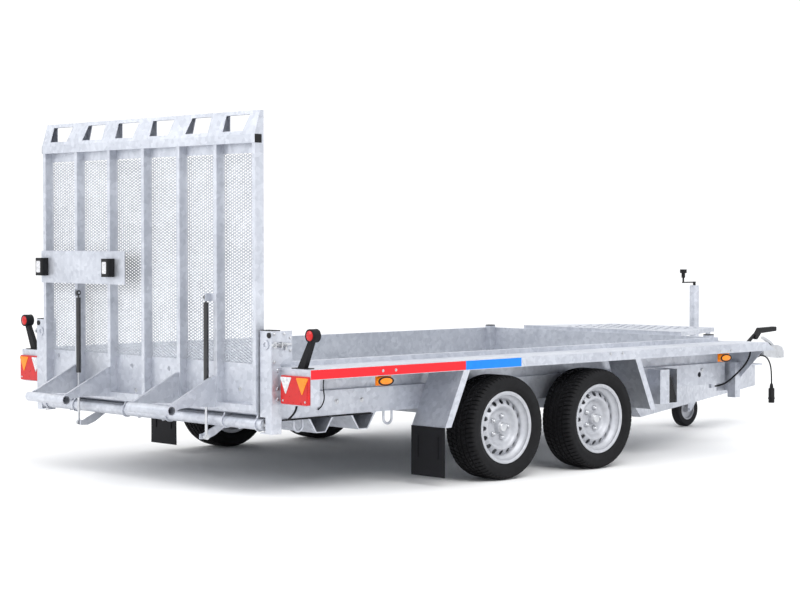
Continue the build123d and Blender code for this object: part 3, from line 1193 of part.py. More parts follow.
# Coupling head with its ball socket and hand lever
SOCKET_BACK = 40.0
SOCKET_DROP = 52.0
SOCKET_DEPTH = 30.0
HEAD_WIDTH = 76.0
HEAD_LEVER = 24.0
SOCKET_X = COUPLING_NOSE_X - SOCKET_BACK
SOCKET_FOOT = COUPLING_AXIS_Z - SOCKET_DROP
with BuildPart() as coupling_head:
    rod_x((GAITER_FRONT_X, GAITER_FRONT_X + 60), 0, COUPLING_AXIS_Z, NECK)
    with BuildSketch(side_plane(HEAD_WIDTH / 2)):
        with BuildLine():
            Polyline(
                (GAITER_FRONT_X + 20, COUPLING_AXIS_Z + 32),
                (SOCKET_X - 30, COUPLING_AXIS_Z + 36),
                (SOCKET_X + 20, COUPLING_AXIS_Z + 22),
                (COUPLING_NOSE_X, COUPLING_AXIS_Z - 6),
                (COUPLING_NOSE_X, SOCKET_FOOT),
                (SOCKET_X - 40, SOCKET_FOOT),
                (GAITER_FRONT_X + 20, COUPLING_AXIS_Z - 32),
                close=True,
            )
        make_face()
    extrude(amount=HEAD_WIDTH)
    socket_zs = (SOCKET_FOOT, SOCKET_FOOT + SOCKET_DEPTH)
    rod_z(SOCKET_X, 0, socket_zs, BALL_RADIUS + SOCKET_CLEARANCE, Mode.SUBTRACT)
    with Locations((at_x(SOCKET_X), 0, SOCKET_FOOT + SOCKET_DEPTH)):
        Sphere(BALL_RADIUS + SOCKET_CLEARANCE, mode=Mode.SUBTRACT)
    with BuildSketch(side_plane(HEAD_LEVER / 2)):
        with BuildLine():
            Polyline(
                (SOCKET_X - 60, COUPLING_AXIS_Z + 30),
                (SOCKET_X - 30, COUPLING_AXIS_Z + 30),
                (SOCKET_X - 70, COUPLING_AXIS_Z + 62),
                (SOCKET_X - 150, COUPLING_AXIS_Z + 96),
                (SOCKET_X - 158, COUPLING_AXIS_Z + 84),
                (SOCKET_X - 84, COUPLING_AXIS_Z + 50),
                close=True,
            )
        make_face()
    extrude(amount=HEAD_LEVER)
keep(coupling_head.part, "coupling_head")

# Handbrake lever on the housing's right side
LEVER_THICKNESS = 12.0
GRIP_WIDTH = 30.0
with BuildPart() as handbrake_lever:
    with BuildSketch(side_plane(-HOUSING_WIDTH / 2)):
        with BuildLine():
            Polyline(
                (HOUSING_FRONT_X - 130, COUPLING_AXIS_Z - 6),
                (HOUSING_FRONT_X - 95, COUPLING_AXIS_Z - 6),
                (HOUSING_FRONT_X - 85, COUPLING_AXIS_Z + 40),
                (HOUSING_FRONT_X + 10, COUPLING_AXIS_Z + 110),
                (HOUSING_FRONT_X, COUPLING_AXIS_Z + 124),
                (HOUSING_FRONT_X - 110, COUPLING_AXIS_Z + 52),
                close=True,
            )
        make_face()
    extrude(amount=LEVER_THICKNESS)
    with BuildSketch(side_plane(-HOUSING_WIDTH / 2 - (LEVER_THICKNESS - GRIP_WIDTH) / 2)):
        with BuildLine():
            Polyline(
                (HOUSING_FRONT_X - 6, COUPLING_AXIS_Z + 96),
                (HOUSING_FRONT_X + 18, COUPLING_AXIS_Z + 84),
                (HOUSING_FRONT_X + 60, COUPLING_AXIS_Z + 124),
                (HOUSING_FRONT_X + 232, COUPLING_AXIS_Z + 134),
                (HOUSING_FRONT_X + 232, COUPLING_AXIS_Z + 164),
                (HOUSING_FRONT_X + 50, COUPLING_AXIS_Z + 160),
                close=True,
            )
        make_face()
    extrude(amount=GRIP_WIDTH)
    fillet(handbrake_lever.edges().filter_by(Axis.Y).sort_by(Axis.X)[-2:], 10)
keep(handbrake_lever.part, "handbrake_lever")

# Jockey wheel: clamp, outer tube, crank, sliding shaft, swivel fork and wheel
CLAMP_PLATE = 8.0
CLAMP_HALF = 46.0
CLAMP_RING = 62.0
JACK_LIFT = 125.0
JACK_CLAMP_Z = DRAWBAR_TOP + CLAMP_PLATE
JACK_TOP = DRAWBAR_TOP + JACK_RISE
JACK_TUBE_FOOT = DRAWBAR_TOP - 4.0
JACK_CAP = 6.0
with BuildPart() as jack_tube:
    clamp_reach = drawbar_y(JACK_X + CLAMP_HALF)
    clamp_xs = (JACK_X - CLAMP_HALF, JACK_X + CLAMP_HALF)
    block(clamp_xs, (-clamp_reach, clamp_reach), (DRAWBAR_TOP, JACK_CLAMP_Z))
    rod_z(JACK_X, 0, (DRAWBAR_TOP, JACK_CLAMP_Z + CLAMP_RING), JACK_TUBE_RADIUS + 9)
    rod_z(JACK_X, 0, (JACK_TUBE_FOOT, JACK_TOP), JACK_TUBE_RADIUS)
    rod_z(JACK_X, 0, (JACK_TUBE_FOOT, JACK_TOP - JACK_CAP), JACK_SHAFT_RADIUS + SEAT_GAP, Mode.SUBTRACT)
keep(jack_tube.part, "jack_tube")

CRANK_REACH = 120.0
KNOB_X = JACK_X - CRANK_REACH + 6.0
with BuildPart() as jack_crank:
    rod_z(JACK_X, 0, (JACK_TOP, JACK_TOP + 24), 9)
    block((JACK_X - CRANK_REACH, JACK_X + 8), (-6, 6), (JACK_TOP + 16, JACK_TOP + 24))
    rod_z(KNOB_X, 0, (JACK_TOP + 24, JACK_TOP + 50), 6)
    rod_z(KNOB_X, 0, (JACK_TOP + 50, JACK_TOP + 80), 12)
    rod_z(KNOB_X, 0, (JACK_TOP + 80, JACK_TOP + 104), 22)
keep(jack_crank.part, "jack_crank")

FORK_TOP = 2 * JACK_WHEEL_RADIUS + 10.0
FORK_PLATE = 5.0
FORK_HALF = JACK_WHEEL_WIDTH / 2 + 7.0
JACK_PIN = 8.0
SHAFT_FOOT = FORK_TOP + FORK_PLATE + SEAT_GAP
with BuildPart() as jack_shaft:
    rod_z(JACK_X, 0, (SHAFT_FOOT, JACK_TOP - JACK_CAP - JACK_LIFT - 55), JACK_SHAFT_RADIUS)
keep(jack_shaft.part, "jack_shaft")

with BuildPart() as jack_fork:
    fork_ys = (-FORK_HALF - FORK_PLATE, FORK_HALF + FORK_PLATE)
    block((JACK_X - 60, JACK_X + 30), fork_ys, (FORK_TOP, FORK_TOP + FORK_PLATE))
    for cheek_y in (FORK_HALF + FORK_PLATE, -FORK_HALF):
        with BuildSketch(side_plane(cheek_y)):
            with BuildLine():
                Polyline(
                    (JACK_X - 60, FORK_TOP),
                    (JACK_X + 30, FORK_TOP),
                    (JACK_X - JACK_TRAIL + 18, JACK_WHEEL_RADIUS - 12),
                    (JACK_X - JACK_TRAIL - 18, JACK_WHEEL_RADIUS - 12),
                    (JACK_X - JACK_TRAIL - 18, JACK_WHEEL_RADIUS + 30),
                    close=True,
                )
            make_face()
        extrude(amount=FORK_PLATE)
    pin_ys = (fork_ys[0] - 8, fork_ys[1] + 8)
    rod_y(JACK_X - JACK_TRAIL, pin_ys, JACK_WHEEL_RADIUS, JACK_PIN)
keep(jack_fork.part, "jack_fork")

JACK_HUB = 68.0
JACK_DISH = 16.0
with BuildPart() as jack_rim:
    rod_y(JACK_X - JACK_TRAIL, (-24, 24), JACK_WHEEL_RADIUS, JACK_HUB - SEAT_GAP)
    for face_y in (24, -24):
        dish_ys = (face_y, face_y - JACK_DISH if face_y > 0 else face_y + JACK_DISH)
        rod_y(JACK_X - JACK_TRAIL, dish_ys, JACK_WHEEL_RADIUS, JACK_HUB - 8, Mode.SUBTRACT)
    rod_y(JACK_X - JACK_TRAIL, (-32, 32), JACK_WHEEL_RADIUS, 22)
    rod_y(JACK_X - JACK_TRAIL, (-40, 40), JACK_WHEEL_RADIUS, JACK_PIN + SEAT_GAP, Mode.SUBTRACT)
keep(jack_rim.part, "jack_rim")

JACK_BEVEL = 12.0
with BuildPart() as jack_tyre:
    jack_centre = (at_x(JACK_X - JACK_TRAIL), 0, JACK_WHEEL_RADIUS)
    jack_axle = Plane(origin=jack_centre, x_dir=(0, 0, 1), z_dir=(-1, 0, 0))
    with BuildSketch(jack_axle):
        with BuildLine():
            Polyline(
                (JACK_HUB, -JACK_WHEEL_WIDTH / 2),
                (JACK_WHEEL_RADIUS - JACK_BEVEL, -JACK_WHEEL_WIDTH / 2),
                (JACK_WHEEL_RADIUS, JACK_BEVEL - JACK_WHEEL_WIDTH / 2),
                (JACK_WHEEL_RADIUS, JACK_WHEEL_WIDTH / 2 - JACK_BEVEL),
                (JACK_WHEEL_RADIUS - JACK_BEVEL, JACK_WHEEL_WIDTH / 2),
                (JACK_HUB, JACK_WHEEL_WIDTH / 2),
                close=True,
            )
        make_face()
    revolve(axis=Axis((at_x(JACK_X - JACK_TRAIL), 0, JACK_WHEEL_RADIUS), (0, 1, 0)))
keep(jack_tyre.part, "jack_tyre")

# Wheel chocks, each standing in its bracket ahead of the wheels
CHOCK_WALL = 4.0
CHOCK_SHOULDER = 38.0
CHOCK_RISE = 158.0
CHOCK_CREST = 20.0
with BuildPart() as wheel_chocks:
    chock_half = CHOCK_HALF - SHEET - CHOCK_WALL
    chock_y = BEAM_OUTER_Y + CHOCK_DEPTH - SHEET - CHOCK_WALL / 2
    with BuildSketch(side_plane(chock_y)):
        with BuildLine():
            Polyline(
                (CHOCK_X - chock_half, CHOCK_FOOT + SHEET),
                (CHOCK_X + chock_half, CHOCK_FOOT + SHEET),
                (CHOCK_X + chock_half, CHOCK_FOOT + CHOCK_SHOULDER),
                (CHOCK_X + CHOCK_CREST, CHOCK_FOOT + CHOCK_RISE),
                (CHOCK_X - CHOCK_CREST, CHOCK_FOOT + CHOCK_RISE),
                (CHOCK_X - chock_half, CHOCK_FOOT + CHOCK_SHOULDER),
                close=True,
            )
        make_face()
    extrude(amount=CHOCK_DEPTH - 2 * SHEET - CHOCK_WALL)
    mirror(about=Plane.XZ)
keep(wheel_chocks.part, "wheel_chocks")

# Wiring cable held under the right fender's nose, from the fender sheet to the clip under the side beam
def bend_radii(points):
    """For each corner of a cord's route, 0.45 of its shorter run over the tangent of half the turn."""
    radii = []
    for before, corner, after in zip(points, points[1:], points[2:]):
        run_in = Vector(*corner) - Vector(*before)
        run_out = Vector(*after) - Vector(*corner)
        turn = radians(run_in.get_angle(run_out))
        radii.append(0.45 * min(run_in.length, run_out.length) / tan(turn / 2))
    return radii


CABLE_NOSE_BACK = 20.0
CABLE_SIDE_BACK = 87.0
cable_x = at_x(NOSE_PLATE_X - CABLE_NOSE_BACK)
cable_y = CABLE_SIDE_BACK - TYRE_OUTER_Y
cable_foot = BEAM_BOTTOM - CABLE_DROP
cable_points = (
    (cable_x, cable_y, PLATE_TOP),
    (cable_x, cable_y, PLATE_TOP - 60),
    (cable_x - 12, cable_y + 25, PLATE_TOP - 125),
    (cable_x - 38, cable_y + 80, PLATE_TOP - 190),
    (at_x(clip_x + 84), -clip_y - 31, cable_foot + 18),
    (at_x(clip_x + 48), -clip_y, cable_foot),
    (at_x(clip_x), -clip_y, cable_foot),
)
cable_radii = bend_radii(cable_points)
with BuildPart() as wiring_cable:
    with BuildLine() as cable_line:
        FilletPolyline(*cable_points, radius=cable_radii)
    with BuildSketch(Plane(origin=cable_line.line @ 0, z_dir=cable_line.line % 0)):
        Circle(CABLE_RADIUS)
    sweep()
print("wiring cable, bend radii", [round(r) for r in cable_radii])
print("wiring cable, length", round(sum(edge.length for edge in cable_line.edges())))
keep(wiring_cable.part, "wiring_cable")

# Lead: free cable that leaves the clip on the housing and hangs down to its plug
PLUG_X = LEAD_X + 200.0
PLUG_Y = LEAD_Y - 8.0
PLUG_TOP = DRAWBAR_TOP - 135.0
PLUG_LENGTH = 130.0
PLUG_RADIUS = 24.0
lead_points = (
    (at_x(LEAD_X), LEAD_Y, LEAD_Z),
    (at_x(LEAD_X + 70), LEAD_Y, LEAD_Z),
    (at_x(LEAD_X + 145), LEAD_Y - 3, LEAD_Z - 10),
    (at_x(PLUG_X - 12), PLUG_Y + 2, LEAD_Z - 60),
    (at_x(PLUG_X), PLUG_Y, PLUG_TOP + 65),
    (at_x(PLUG_X), PLUG_Y, PLUG_TOP),
)
lead_radii = bend_radii(lead_points)
with BuildPart() as lead:
    with BuildLine() as lead_line:
        FilletPolyline(*lead_points, radius=lead_radii)
    with BuildSketch(Plane(origin=lead_line.line @ 0, z_dir=lead_line.line % 0)):
        Circle(LEAD_RADIUS)
    sweep()
print("lead, bend radii", [round(r) for r in lead_radii])
print("lead, length", round(sum(edge.length for edge in lead_line.edges())))
keep(lead.part, "lead")
with BuildPart() as lead_plug:
    rod_z(PLUG_X, PLUG_Y, (PLUG_TOP - 34, PLUG_TOP), 13)
    rod_z(PLUG_X, PLUG_Y, (PLUG_TOP - 96, PLUG_TOP - 34), PLUG_RADIUS - 3)
    rod_z(PLUG_X, PLUG_Y, (PLUG_TOP - 104, PLUG_TOP - 96), PLUG_RADIUS)
    rod_z(PLUG_X, PLUG_Y, (PLUG_TOP - PLUG_LENGTH, PLUG_TOP - 104), PLUG_RADIUS - 4)
keep(lead_plug.part, "lead_plug")
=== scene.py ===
# %% [markdown]
# # Dressing a plant trailer
#
# The trailer's solids come from a CAD model, and they are already at their real size and in their real
# place. This file gives them their finishes, swaps the plain tyres, rims and mesh for detailed ones, and
# adds the small things that a workshop bolts, clips or sticks on. Everything is in metres: X points to
# the coupling, Y to the trailer's left and Z up, with the origin on the ground under the middle.

import json
from math import cos, pi, radians, sin

import bpy
import numpy as np
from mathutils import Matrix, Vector


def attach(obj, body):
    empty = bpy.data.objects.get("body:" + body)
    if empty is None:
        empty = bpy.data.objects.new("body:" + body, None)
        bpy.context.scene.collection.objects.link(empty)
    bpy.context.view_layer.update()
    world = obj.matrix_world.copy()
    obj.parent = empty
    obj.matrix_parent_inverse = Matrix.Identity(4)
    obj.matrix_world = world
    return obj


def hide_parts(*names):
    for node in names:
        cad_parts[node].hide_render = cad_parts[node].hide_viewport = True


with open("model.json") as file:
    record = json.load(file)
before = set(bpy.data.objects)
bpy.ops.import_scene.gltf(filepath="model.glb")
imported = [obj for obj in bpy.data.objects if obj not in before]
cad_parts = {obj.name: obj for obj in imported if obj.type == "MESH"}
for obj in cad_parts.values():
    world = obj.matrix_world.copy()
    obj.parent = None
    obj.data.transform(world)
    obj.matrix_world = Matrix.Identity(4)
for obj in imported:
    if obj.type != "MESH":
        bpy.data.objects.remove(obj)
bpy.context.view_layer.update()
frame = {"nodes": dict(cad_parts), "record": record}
NODES = frame["nodes"]


# %% [markdown]
# ## The camera
#
# The photograph was taken from about nine metres off the right rear corner, at the height of a person's
# waist, with a long lens. The camera's place and lens were worked out from the wheels, the fender rail
# and the ramp, so that a point of the trailer falls on the same pixel as in the photograph. It could be
# placed by eye, but then its view would differ from the photograph's.

# %% Place the camera
AXLES_X = -0.775
CAMERA_PLACE = Vector((AXLES_X - 7.5823, -7.9973, 1.2136))
CAMERA_YAW = radians(46.4356)
CAMERA_PITCH = radians(-1.8021)
FILM_WIDTH = 36.0
LENS = 89.44
FARTHEST = 200.0

camera_data = bpy.data.cameras.new("camera")
camera_data.sensor_fit = "HORIZONTAL"
camera_data.sensor_width = FILM_WIDTH
camera_data.lens = LENS
camera_data.clip_end = FARTHEST
camera = bpy.data.objects.new("camera", camera_data)
bpy.context.scene.collection.objects.link(camera)
look = Vector(
    (
        cos(CAMERA_PITCH) * cos(CAMERA_YAW),
        cos(CAMERA_PITCH) * sin(CAMERA_YAW),
        sin(CAMERA_PITCH),
    )
)
camera.location = CAMERA_PLACE
camera.rotation_euler = look.to_track_quat("-Z", "Y").to_euler()
bpy.context.scene.camera = camera
print("camera at", tuple(round(c, 3) for c in camera.location))

# %% [markdown]
# ## Floor and light
#
# A product photograph of a galvanised trailer needs large soft lights, because zinc mirrors whatever
# stands around it: a small lamp gives hard sparkles, and a large pale one gives the smooth grey slopes
# that show the folds. So the floor is a wide pale sheet, the sky is an even pale grey, and two big area
# lamps give the faces their difference in brightness.

# %% Lay the floor and hang the lights
FLOOR_HALF = 60.0
FLOOR_DROP = 0.0015

floor_mesh = bpy.data.meshes.new("floor")
floor_mesh.from_pydata(
    [
        (-FLOOR_HALF, -FLOOR_HALF, -FLOOR_DROP),
        (FLOOR_HALF, -FLOOR_HALF, -FLOOR_DROP),
        (FLOOR_HALF, FLOOR_HALF, -FLOOR_DROP),
        (-FLOOR_HALF, FLOOR_HALF, -FLOOR_DROP),
    ],
    [],
    [(0, 1, 2, 3)],
)
floor = bpy.data.objects.new("floor", floor_mesh)
bpy.context.scene.collection.objects.link(floor)

world = bpy.data.worlds.new("studio")
world.use_nodes = True
world_tree = world.node_tree
open_sky = world_tree.nodes["Background"]
where = world_tree.nodes.new("ShaderNodeTexCoord")
parts = world_tree.nodes.new("ShaderNodeSeparateXYZ")
slope = world_tree.nodes.new("ShaderNodeValToRGB")
slope.color_ramp.elements[0].position = 0.0
slope.color_ramp.elements[0].color = (0.64, 0.67, 0.72, 1.0)
slope.color_ramp.elements[1].position = 0.75
slope.color_ramp.elements[1].color = (1.0, 1.0, 1.0, 1.0)
world_tree.links.new(where.outputs["Generated"], parts.inputs["Vector"])
world_tree.links.new(parts.outputs["Z"], slope.inputs["Fac"])
world_tree.links.new(slope.outputs["Color"], open_sky.inputs["Color"])
open_sky.inputs["Strength"].default_value = 1.35
white_wall = world_tree.nodes.new("ShaderNodeBackground")
white_wall.inputs["Color"].default_value = (1.0, 1.0, 1.0, 1.0)
white_wall.inputs["Strength"].default_value = 1.1
ray = world_tree.nodes.new("ShaderNodeLightPath")
choice = world_tree.nodes.new("ShaderNodeMixShader")
world_tree.links.new(ray.outputs["Is Camera Ray"], choice.inputs["Fac"])
world_tree.links.new(open_sky.outputs["Background"], choice.inputs[1])
world_tree.links.new(white_wall.outputs["Background"], choice.inputs[2])
world_tree.links.new(choice.outputs["Shader"], world_tree.nodes["World Output"].inputs["Surface"])
bpy.context.scene.world = world
bpy.context.scene.view_settings.view_transform = "Standard"


def hang_light(name, place, target, size, watts):
    """An area lamp at place that faces target."""
    data = bpy.data.lights.new(name, "AREA")
    data.shape = "RECTANGLE"
    data.size, data.size_y = size
    data.energy = watts
    lamp = bpy.data.objects.new(name, data)
    lamp.location = place
    lamp.rotation_euler = (Vector(target) - Vector(place)).to_track_quat("-Z", "Y").to_euler()
    bpy.context.scene.collection.objects.link(lamp)
    return lamp


hang_light("key_light", (-3.0, -7.0, 7.0), (0.0, 0.0, 0.5), (6.0, 4.0), 420.0)
hang_light("fill_light", (-9.0, 3.0, 4.0), (-2.0, 0.0, 0.8), (5.0, 4.0), 180.0)
print("lights hung")

# %% [markdown]
# ## Finishes
#
# Nearly all of the trailer is hot dip galvanised steel. Zinc freezes in flat crystals, so its colour
# changes a little from patch to patch and its shine changes with it. A Voronoi texture gives the patches,
# one random value for each cell, and a noise texture adds the cloudy streaks of the dipping. Both are
# read from Object coordinates, so they stay fixed to the steel.

# %% Material helper and the galvanised finish
def new_material(name):
    """An empty node material with its shader. Returns the material, its node tree and the shader."""
    material = bpy.data.materials.new(name)
    material.use_nodes = True
    tree = material.node_tree
    return material, tree, tree.nodes["Principled BSDF"]


def object_noise(tree, scale, detail=4.0, stretch=(1.0, 1.0, 1.0)):
    """A noise texture on Object coordinates, with its scale in waves a metre."""
    place = tree.nodes.new("ShaderNodeTexCoord")
    mapping = tree.nodes.new("ShaderNodeMapping")
    mapping.inputs["Scale"].default_value = stretch
    noise = tree.nodes.new("ShaderNodeTexNoise")
    noise.inputs["Scale"].default_value = scale
    noise.inputs["Detail"].default_value = detail
    tree.links.new(place.outputs["Object"], mapping.inputs["Vector"])
    tree.links.new(mapping.outputs["Vector"], noise.inputs["Vector"])
    return noise


def ramp_between(tree, source, low, high, start=0.3, end=0.7):
    """A colour ramp that turns a 0 to 1 value into a colour between low and high."""
    ramp = tree.nodes.new("ShaderNodeValToRGB")
    ramp.color_ramp.elements[0].position = start
    ramp.color_ramp.elements[0].color = (*low, 1.0)
    ramp.color_ramp.elements[1].position = end
    ramp.color_ramp.elements[1].color = (*high, 1.0)
    tree.links.new(source, ramp.inputs["Fac"])
    return ramp


def map_range(tree, source, low, high):
    """Turns a 0 to 1 value into one between low and high."""
    node = tree.nodes.new("ShaderNodeMapRange")
    node.inputs["To Min"].default_value = low
    node.inputs["To Max"].default_value = high
    tree.links.new(source, node.inputs["Value"])
    return node


def bump_from(tree, source, shader, strength, distance):
    """Adds a bump, in metres of depth, from a 0 to 1 height."""
    bump = tree.nodes.new("ShaderNodeBump")
    bump.inputs["Strength"].default_value = strength
    bump.inputs["Distance"].default_value = distance
    tree.links.new(source, bump.inputs["Height"])
    tree.links.new(bump.outputs["Normal"], shader.inputs["Normal"])
    return bump


def galvanised(name, low, high, spangle=46.0):
    """Zinc with crystal patches: each Voronoi cell shifts the colour and the shine a little."""
    material, tree, shader = new_material(name)
    place = tree.nodes.new("ShaderNodeTexCoord")
    cells = tree.nodes.new("ShaderNodeTexVoronoi")
    cells.inputs["Scale"].default_value = spangle
    tree.links.new(place.outputs["Object"], cells.inputs["Vector"])
    patch = tree.nodes.new("ShaderNodeSeparateColor")
    tree.links.new(cells.outputs["Color"], patch.inputs["Color"])
    cloud = object_noise(tree, 3.0, 6.0, (1.0, 1.0, 2.2))
    blend = tree.nodes.new("ShaderNodeMix")
    blend.data_type = "FLOAT"
    blend.inputs[0].default_value = 0.72
    tree.links.new(patch.outputs["Red"], blend.inputs[2])
    tree.links.new(cloud.outputs["Fac"], blend.inputs[3])
    colour = ramp_between(tree, blend.outputs[0], low, high, 0.25, 0.75)
    tree.links.new(colour.outputs["Color"], shader.inputs["Base Color"])
    shine = map_range(tree, patch.outputs["Green"], 0.36, 0.56)
    tree.links.new(shine.outputs["Result"], shader.inputs["Roughness"])
    shader.inputs["Metallic"].default_value = 0.72
    fine = object_noise(tree, 260.0, 3.0)
    bump_from(tree, fine.outputs["Fac"], shader, 0.12, 0.0006)
    return material


zinc = galvanised("zinc", (0.44, 0.46, 0.51), (0.62, 0.64, 0.69))
# The second copy of the zinc is darker as painted shade: it darkens the parts in the floor_plate slot to give
# the trailer's underside the deeper contrast of its shade, and is the same zinc, not a duller one.
zinc_painted_shade = galvanised("zinc_painted_shade", (0.30, 0.32, 0.34), (0.44, 0.46, 0.49), 30.0)
print("galvanised finishes made")


# %% Plain finishes: paint, rubber, plastic and lenses
def plain(name, colour, rough, metallic=0.0, spread=0.25, scale=40.0, bump=0.0004, coat=0.0, gloss=0.5):
    """A finish of one colour with a slight cloud in its tone and its shine, and a fine grain."""
    material, tree, shader = new_material(name)
    cloud = object_noise(tree, scale)
    low = tuple(c * (1 - spread) for c in colour)
    high = tuple(min(1.0, c * (1 + spread)) for c in colour)
    tone = ramp_between(tree, cloud.outputs["Fac"], low, high)
    tree.links.new(tone.outputs["Color"], shader.inputs["Base Color"])
    shine = map_range(tree, cloud.outputs["Fac"], rough - 0.08, rough + 0.08)
    tree.links.new(shine.outputs["Result"], shader.inputs["Roughness"])
    shader.inputs["Metallic"].default_value = metallic
    shader.inputs["Coat Weight"].default_value = coat
    shader.inputs["Specular IOR Level"].default_value = gloss
    grain = object_noise(tree, scale * 12)
    bump_from(tree, grain.outputs["Fac"], shader, 0.3, bump)
    return material


finishes = {
    "galvanised": zinc,
    "floor_plate": zinc_painted_shade,
    "tyre": plain("tyre_rubber", (0.0075, 0.0075, 0.0085), 0.72, spread=0.3, gloss=0.18),
    "wheel": plain("wheel_paint", (0.44, 0.45, 0.48), 0.46, metallic=0.35, spread=0.08, bump=0.0002),
    "black_rubber": plain("moulded_rubber", (0.006, 0.006, 0.008), 0.6, gloss=0.2),
    "black_plastic": plain("moulded_plastic", (0.006, 0.006, 0.007), 0.45, gloss=0.25),
    "red_lens": plain("red_lens", (0.50, 0.006, 0.006), 0.3, spread=0.1, coat=0.2, gloss=0.3),
    "amber_lens": plain("amber_lens", (0.80, 0.22, 0.004), 0.3, spread=0.1, coat=0.2, gloss=0.3),
    "black_steel": plain("black_paint", (0.012, 0.012, 0.014), 0.3, coat=0.4),
    "bare_steel": plain("bright_steel", (0.55, 0.56, 0.58), 0.3, metallic=0.95, spread=0.1),
}
slot_of = {row["node"]: row["material_slot"] for row in frame["record"]["subparts"]}
for node_name, node in NODES.items():
    node.data.materials.clear()
    node.data.materials.append(finishes[slot_of[node_name]])
red_film = plain("red_film", (0.66, 0.012, 0.020), 0.45, spread=0.05, bump=0.0001, gloss=0.25)
blue_film = plain("blue_film", (0.004, 0.19, 0.68), 0.45, spread=0.05, bump=0.0001, gloss=0.25)
clear_lens = plain("clear_lens", (0.58, 0.58, 0.60), 0.25, spread=0.25, scale=90.0, bump=0.0008, coat=0.3)
zinc_mesh = galvanised("zinc_mesh", (0.36, 0.38, 0.42), (0.54, 0.56, 0.60), 60.0)
floor.data.materials.append(plain("studio_floor", (0.90, 0.90, 0.90), 0.85, spread=0.01, scale=0.4))
print("finishes given to", len(NODES), "nodes")

# %% [markdown]
# ## Surfaces from arrays
#
# Every new piece below is a surface worked out with numpy: a profile carried round an axis or along a
# path, or an outline carried up a thickness. Blender's modelling tools could make the same shapes by
# hand, but a formula keeps the piece tied to the measured sizes and makes a hundred copies as easily as
# one. One helper turns the arrays into a mesh, drops the triangles that collapse at a pole, and turns the
# faces outwards.

# %% Mesh helpers
def unit(rows):
    """Each row over its length."""
    rows = np.asarray(rows, dtype=float)
    return rows / np.linalg.norm(rows, axis=-1, keepdims=True)


def grid_triangles(rows, columns, close_rows=False, close_columns=False):
    """Two triangles for each cell of a grid; a closed direction joins its last line to its first."""
    down = np.arange(rows if close_rows else rows - 1)
    across = np.arange(columns if close_columns else columns - 1)
    row, column = (a.ravel() for a in np.meshgrid(down, across, indexing="ij"))
    next_row, next_column = (row + 1) % rows, (column + 1) % columns
    near, far = row * columns, next_row * columns
    lower = np.stack([near + column, far + column, far + next_column], 1)
    upper = np.stack([near + column, far + next_column, near + next_column], 1)
    return np.concatenate([lower, upper])


def joined(*shapes):
    """Several (points, triangles) pairs as one, each pair's numbers raised by the points before it."""
    starts = np.cumsum([0] + [len(points.reshape(-1, 3)) for points, _ in shapes[:-1]])
    points = np.concatenate([points.reshape(-1, 3) for points, _ in shapes])
    return points, np.concatenate([faces + start for start, (_, faces) in zip(starts, shapes)])


def placed(shape, place, facing, up=(0.0, 0.0, 1.0), scale=1.0):
    """Turns a shape's z to facing and its y as near to up as it goes, scales it and moves it to place."""
    points, faces = shape
    z_row = unit(facing)
    x_row = unit(np.cross(up, z_row))
    turned_rows = np.stack([x_row, np.cross(z_row, x_row), z_row])
    return points.reshape(-1, 3) * scale @ turned_rows + np.asarray(place), faces


def mirrored(shape):
    """The shape with its y negated, and its triangles turned over so that they still face outwards."""
    points, faces = shape
    return points.reshape(-1, 3) * (1.0, -1.0, 1.0), faces[:, ::-1]


def both_sides(shape):
    """A shape and its mirror image on the trailer's other side."""
    return joined(shape, mirrored(shape))


def add_piece(name, shape, body, slot, finish=None, smooth=35.0, stands_for=()):
    """Merges equal points, drops collapsed triangles, and turns all faces over if the volume is negative.

    The finish is the slot's own unless another one is given.
    """
    points, faces = shape
    places, back = np.unique(np.round(points.reshape(-1, 3), 6), axis=0, return_inverse=True)
    faces = back.reshape(-1)[faces]
    whole = (faces[:, 0] != faces[:, 1]) & (faces[:, 1] != faces[:, 2]) & (faces[:, 2] != faces[:, 0])
    faces = faces[whole]
    corners = places[faces]
    if np.einsum("ij,ij", corners[:, 0], np.cross(corners[:, 1], corners[:, 2])) < 0:
        faces = faces[:, ::-1]
    mesh = bpy.data.meshes.new(name)
    mesh.vertices.add(len(places))
    mesh.vertices.foreach_set("co", places.astype(np.float32).ravel())
    mesh.loops.add(faces.size)
    mesh.loops.foreach_set("vertex_index", faces.astype(np.int32).ravel())
    mesh.polygons.add(len(faces))
    mesh.polygons.foreach_set("loop_start", np.arange(0, faces.size, 3, dtype=np.int32))
    mesh.update(calc_edges=True)
    mesh.validate()
    mesh.shade_smooth()
    mesh.set_sharp_from_angle(angle=radians(smooth))
    mesh.materials.append(finish or finishes[slot])
    piece = bpy.data.objects.new(name, mesh)
    bpy.context.scene.collection.objects.link(piece)
    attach(piece, body)
    if stands_for:
        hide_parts(*stands_for)
    print(name, len(faces), "triangles")
    return piece


# %% Profiles carried round an axis, along a path, or up a thickness
def turned(profile, steps=24):
    """Rows of radius, height and optional share of hexagon, carried round z: x = r cos t, y = r sin t.

    A hexagon's radius is its flat's distance over the cosine of the angle from the nearest flat's middle.
    """
    rows = np.array([(*row, 0.0)[:3] for row in profile])
    turn = np.linspace(0, 2 * pi, steps, endpoint=False)
    hexagon = 1 / np.cos((turn + pi / 6) % (pi / 3) - pi / 6)
    radius = rows[:, :1] * (1 + rows[:, 2:] * (hexagon - 1))
    height = np.repeat(rows[:, 1:2], steps, axis=1)
    points = np.stack([radius * np.cos(turn), radius * np.sin(turn), height], -1)
    return points, grid_triangles(len(rows), steps, close_columns=True)


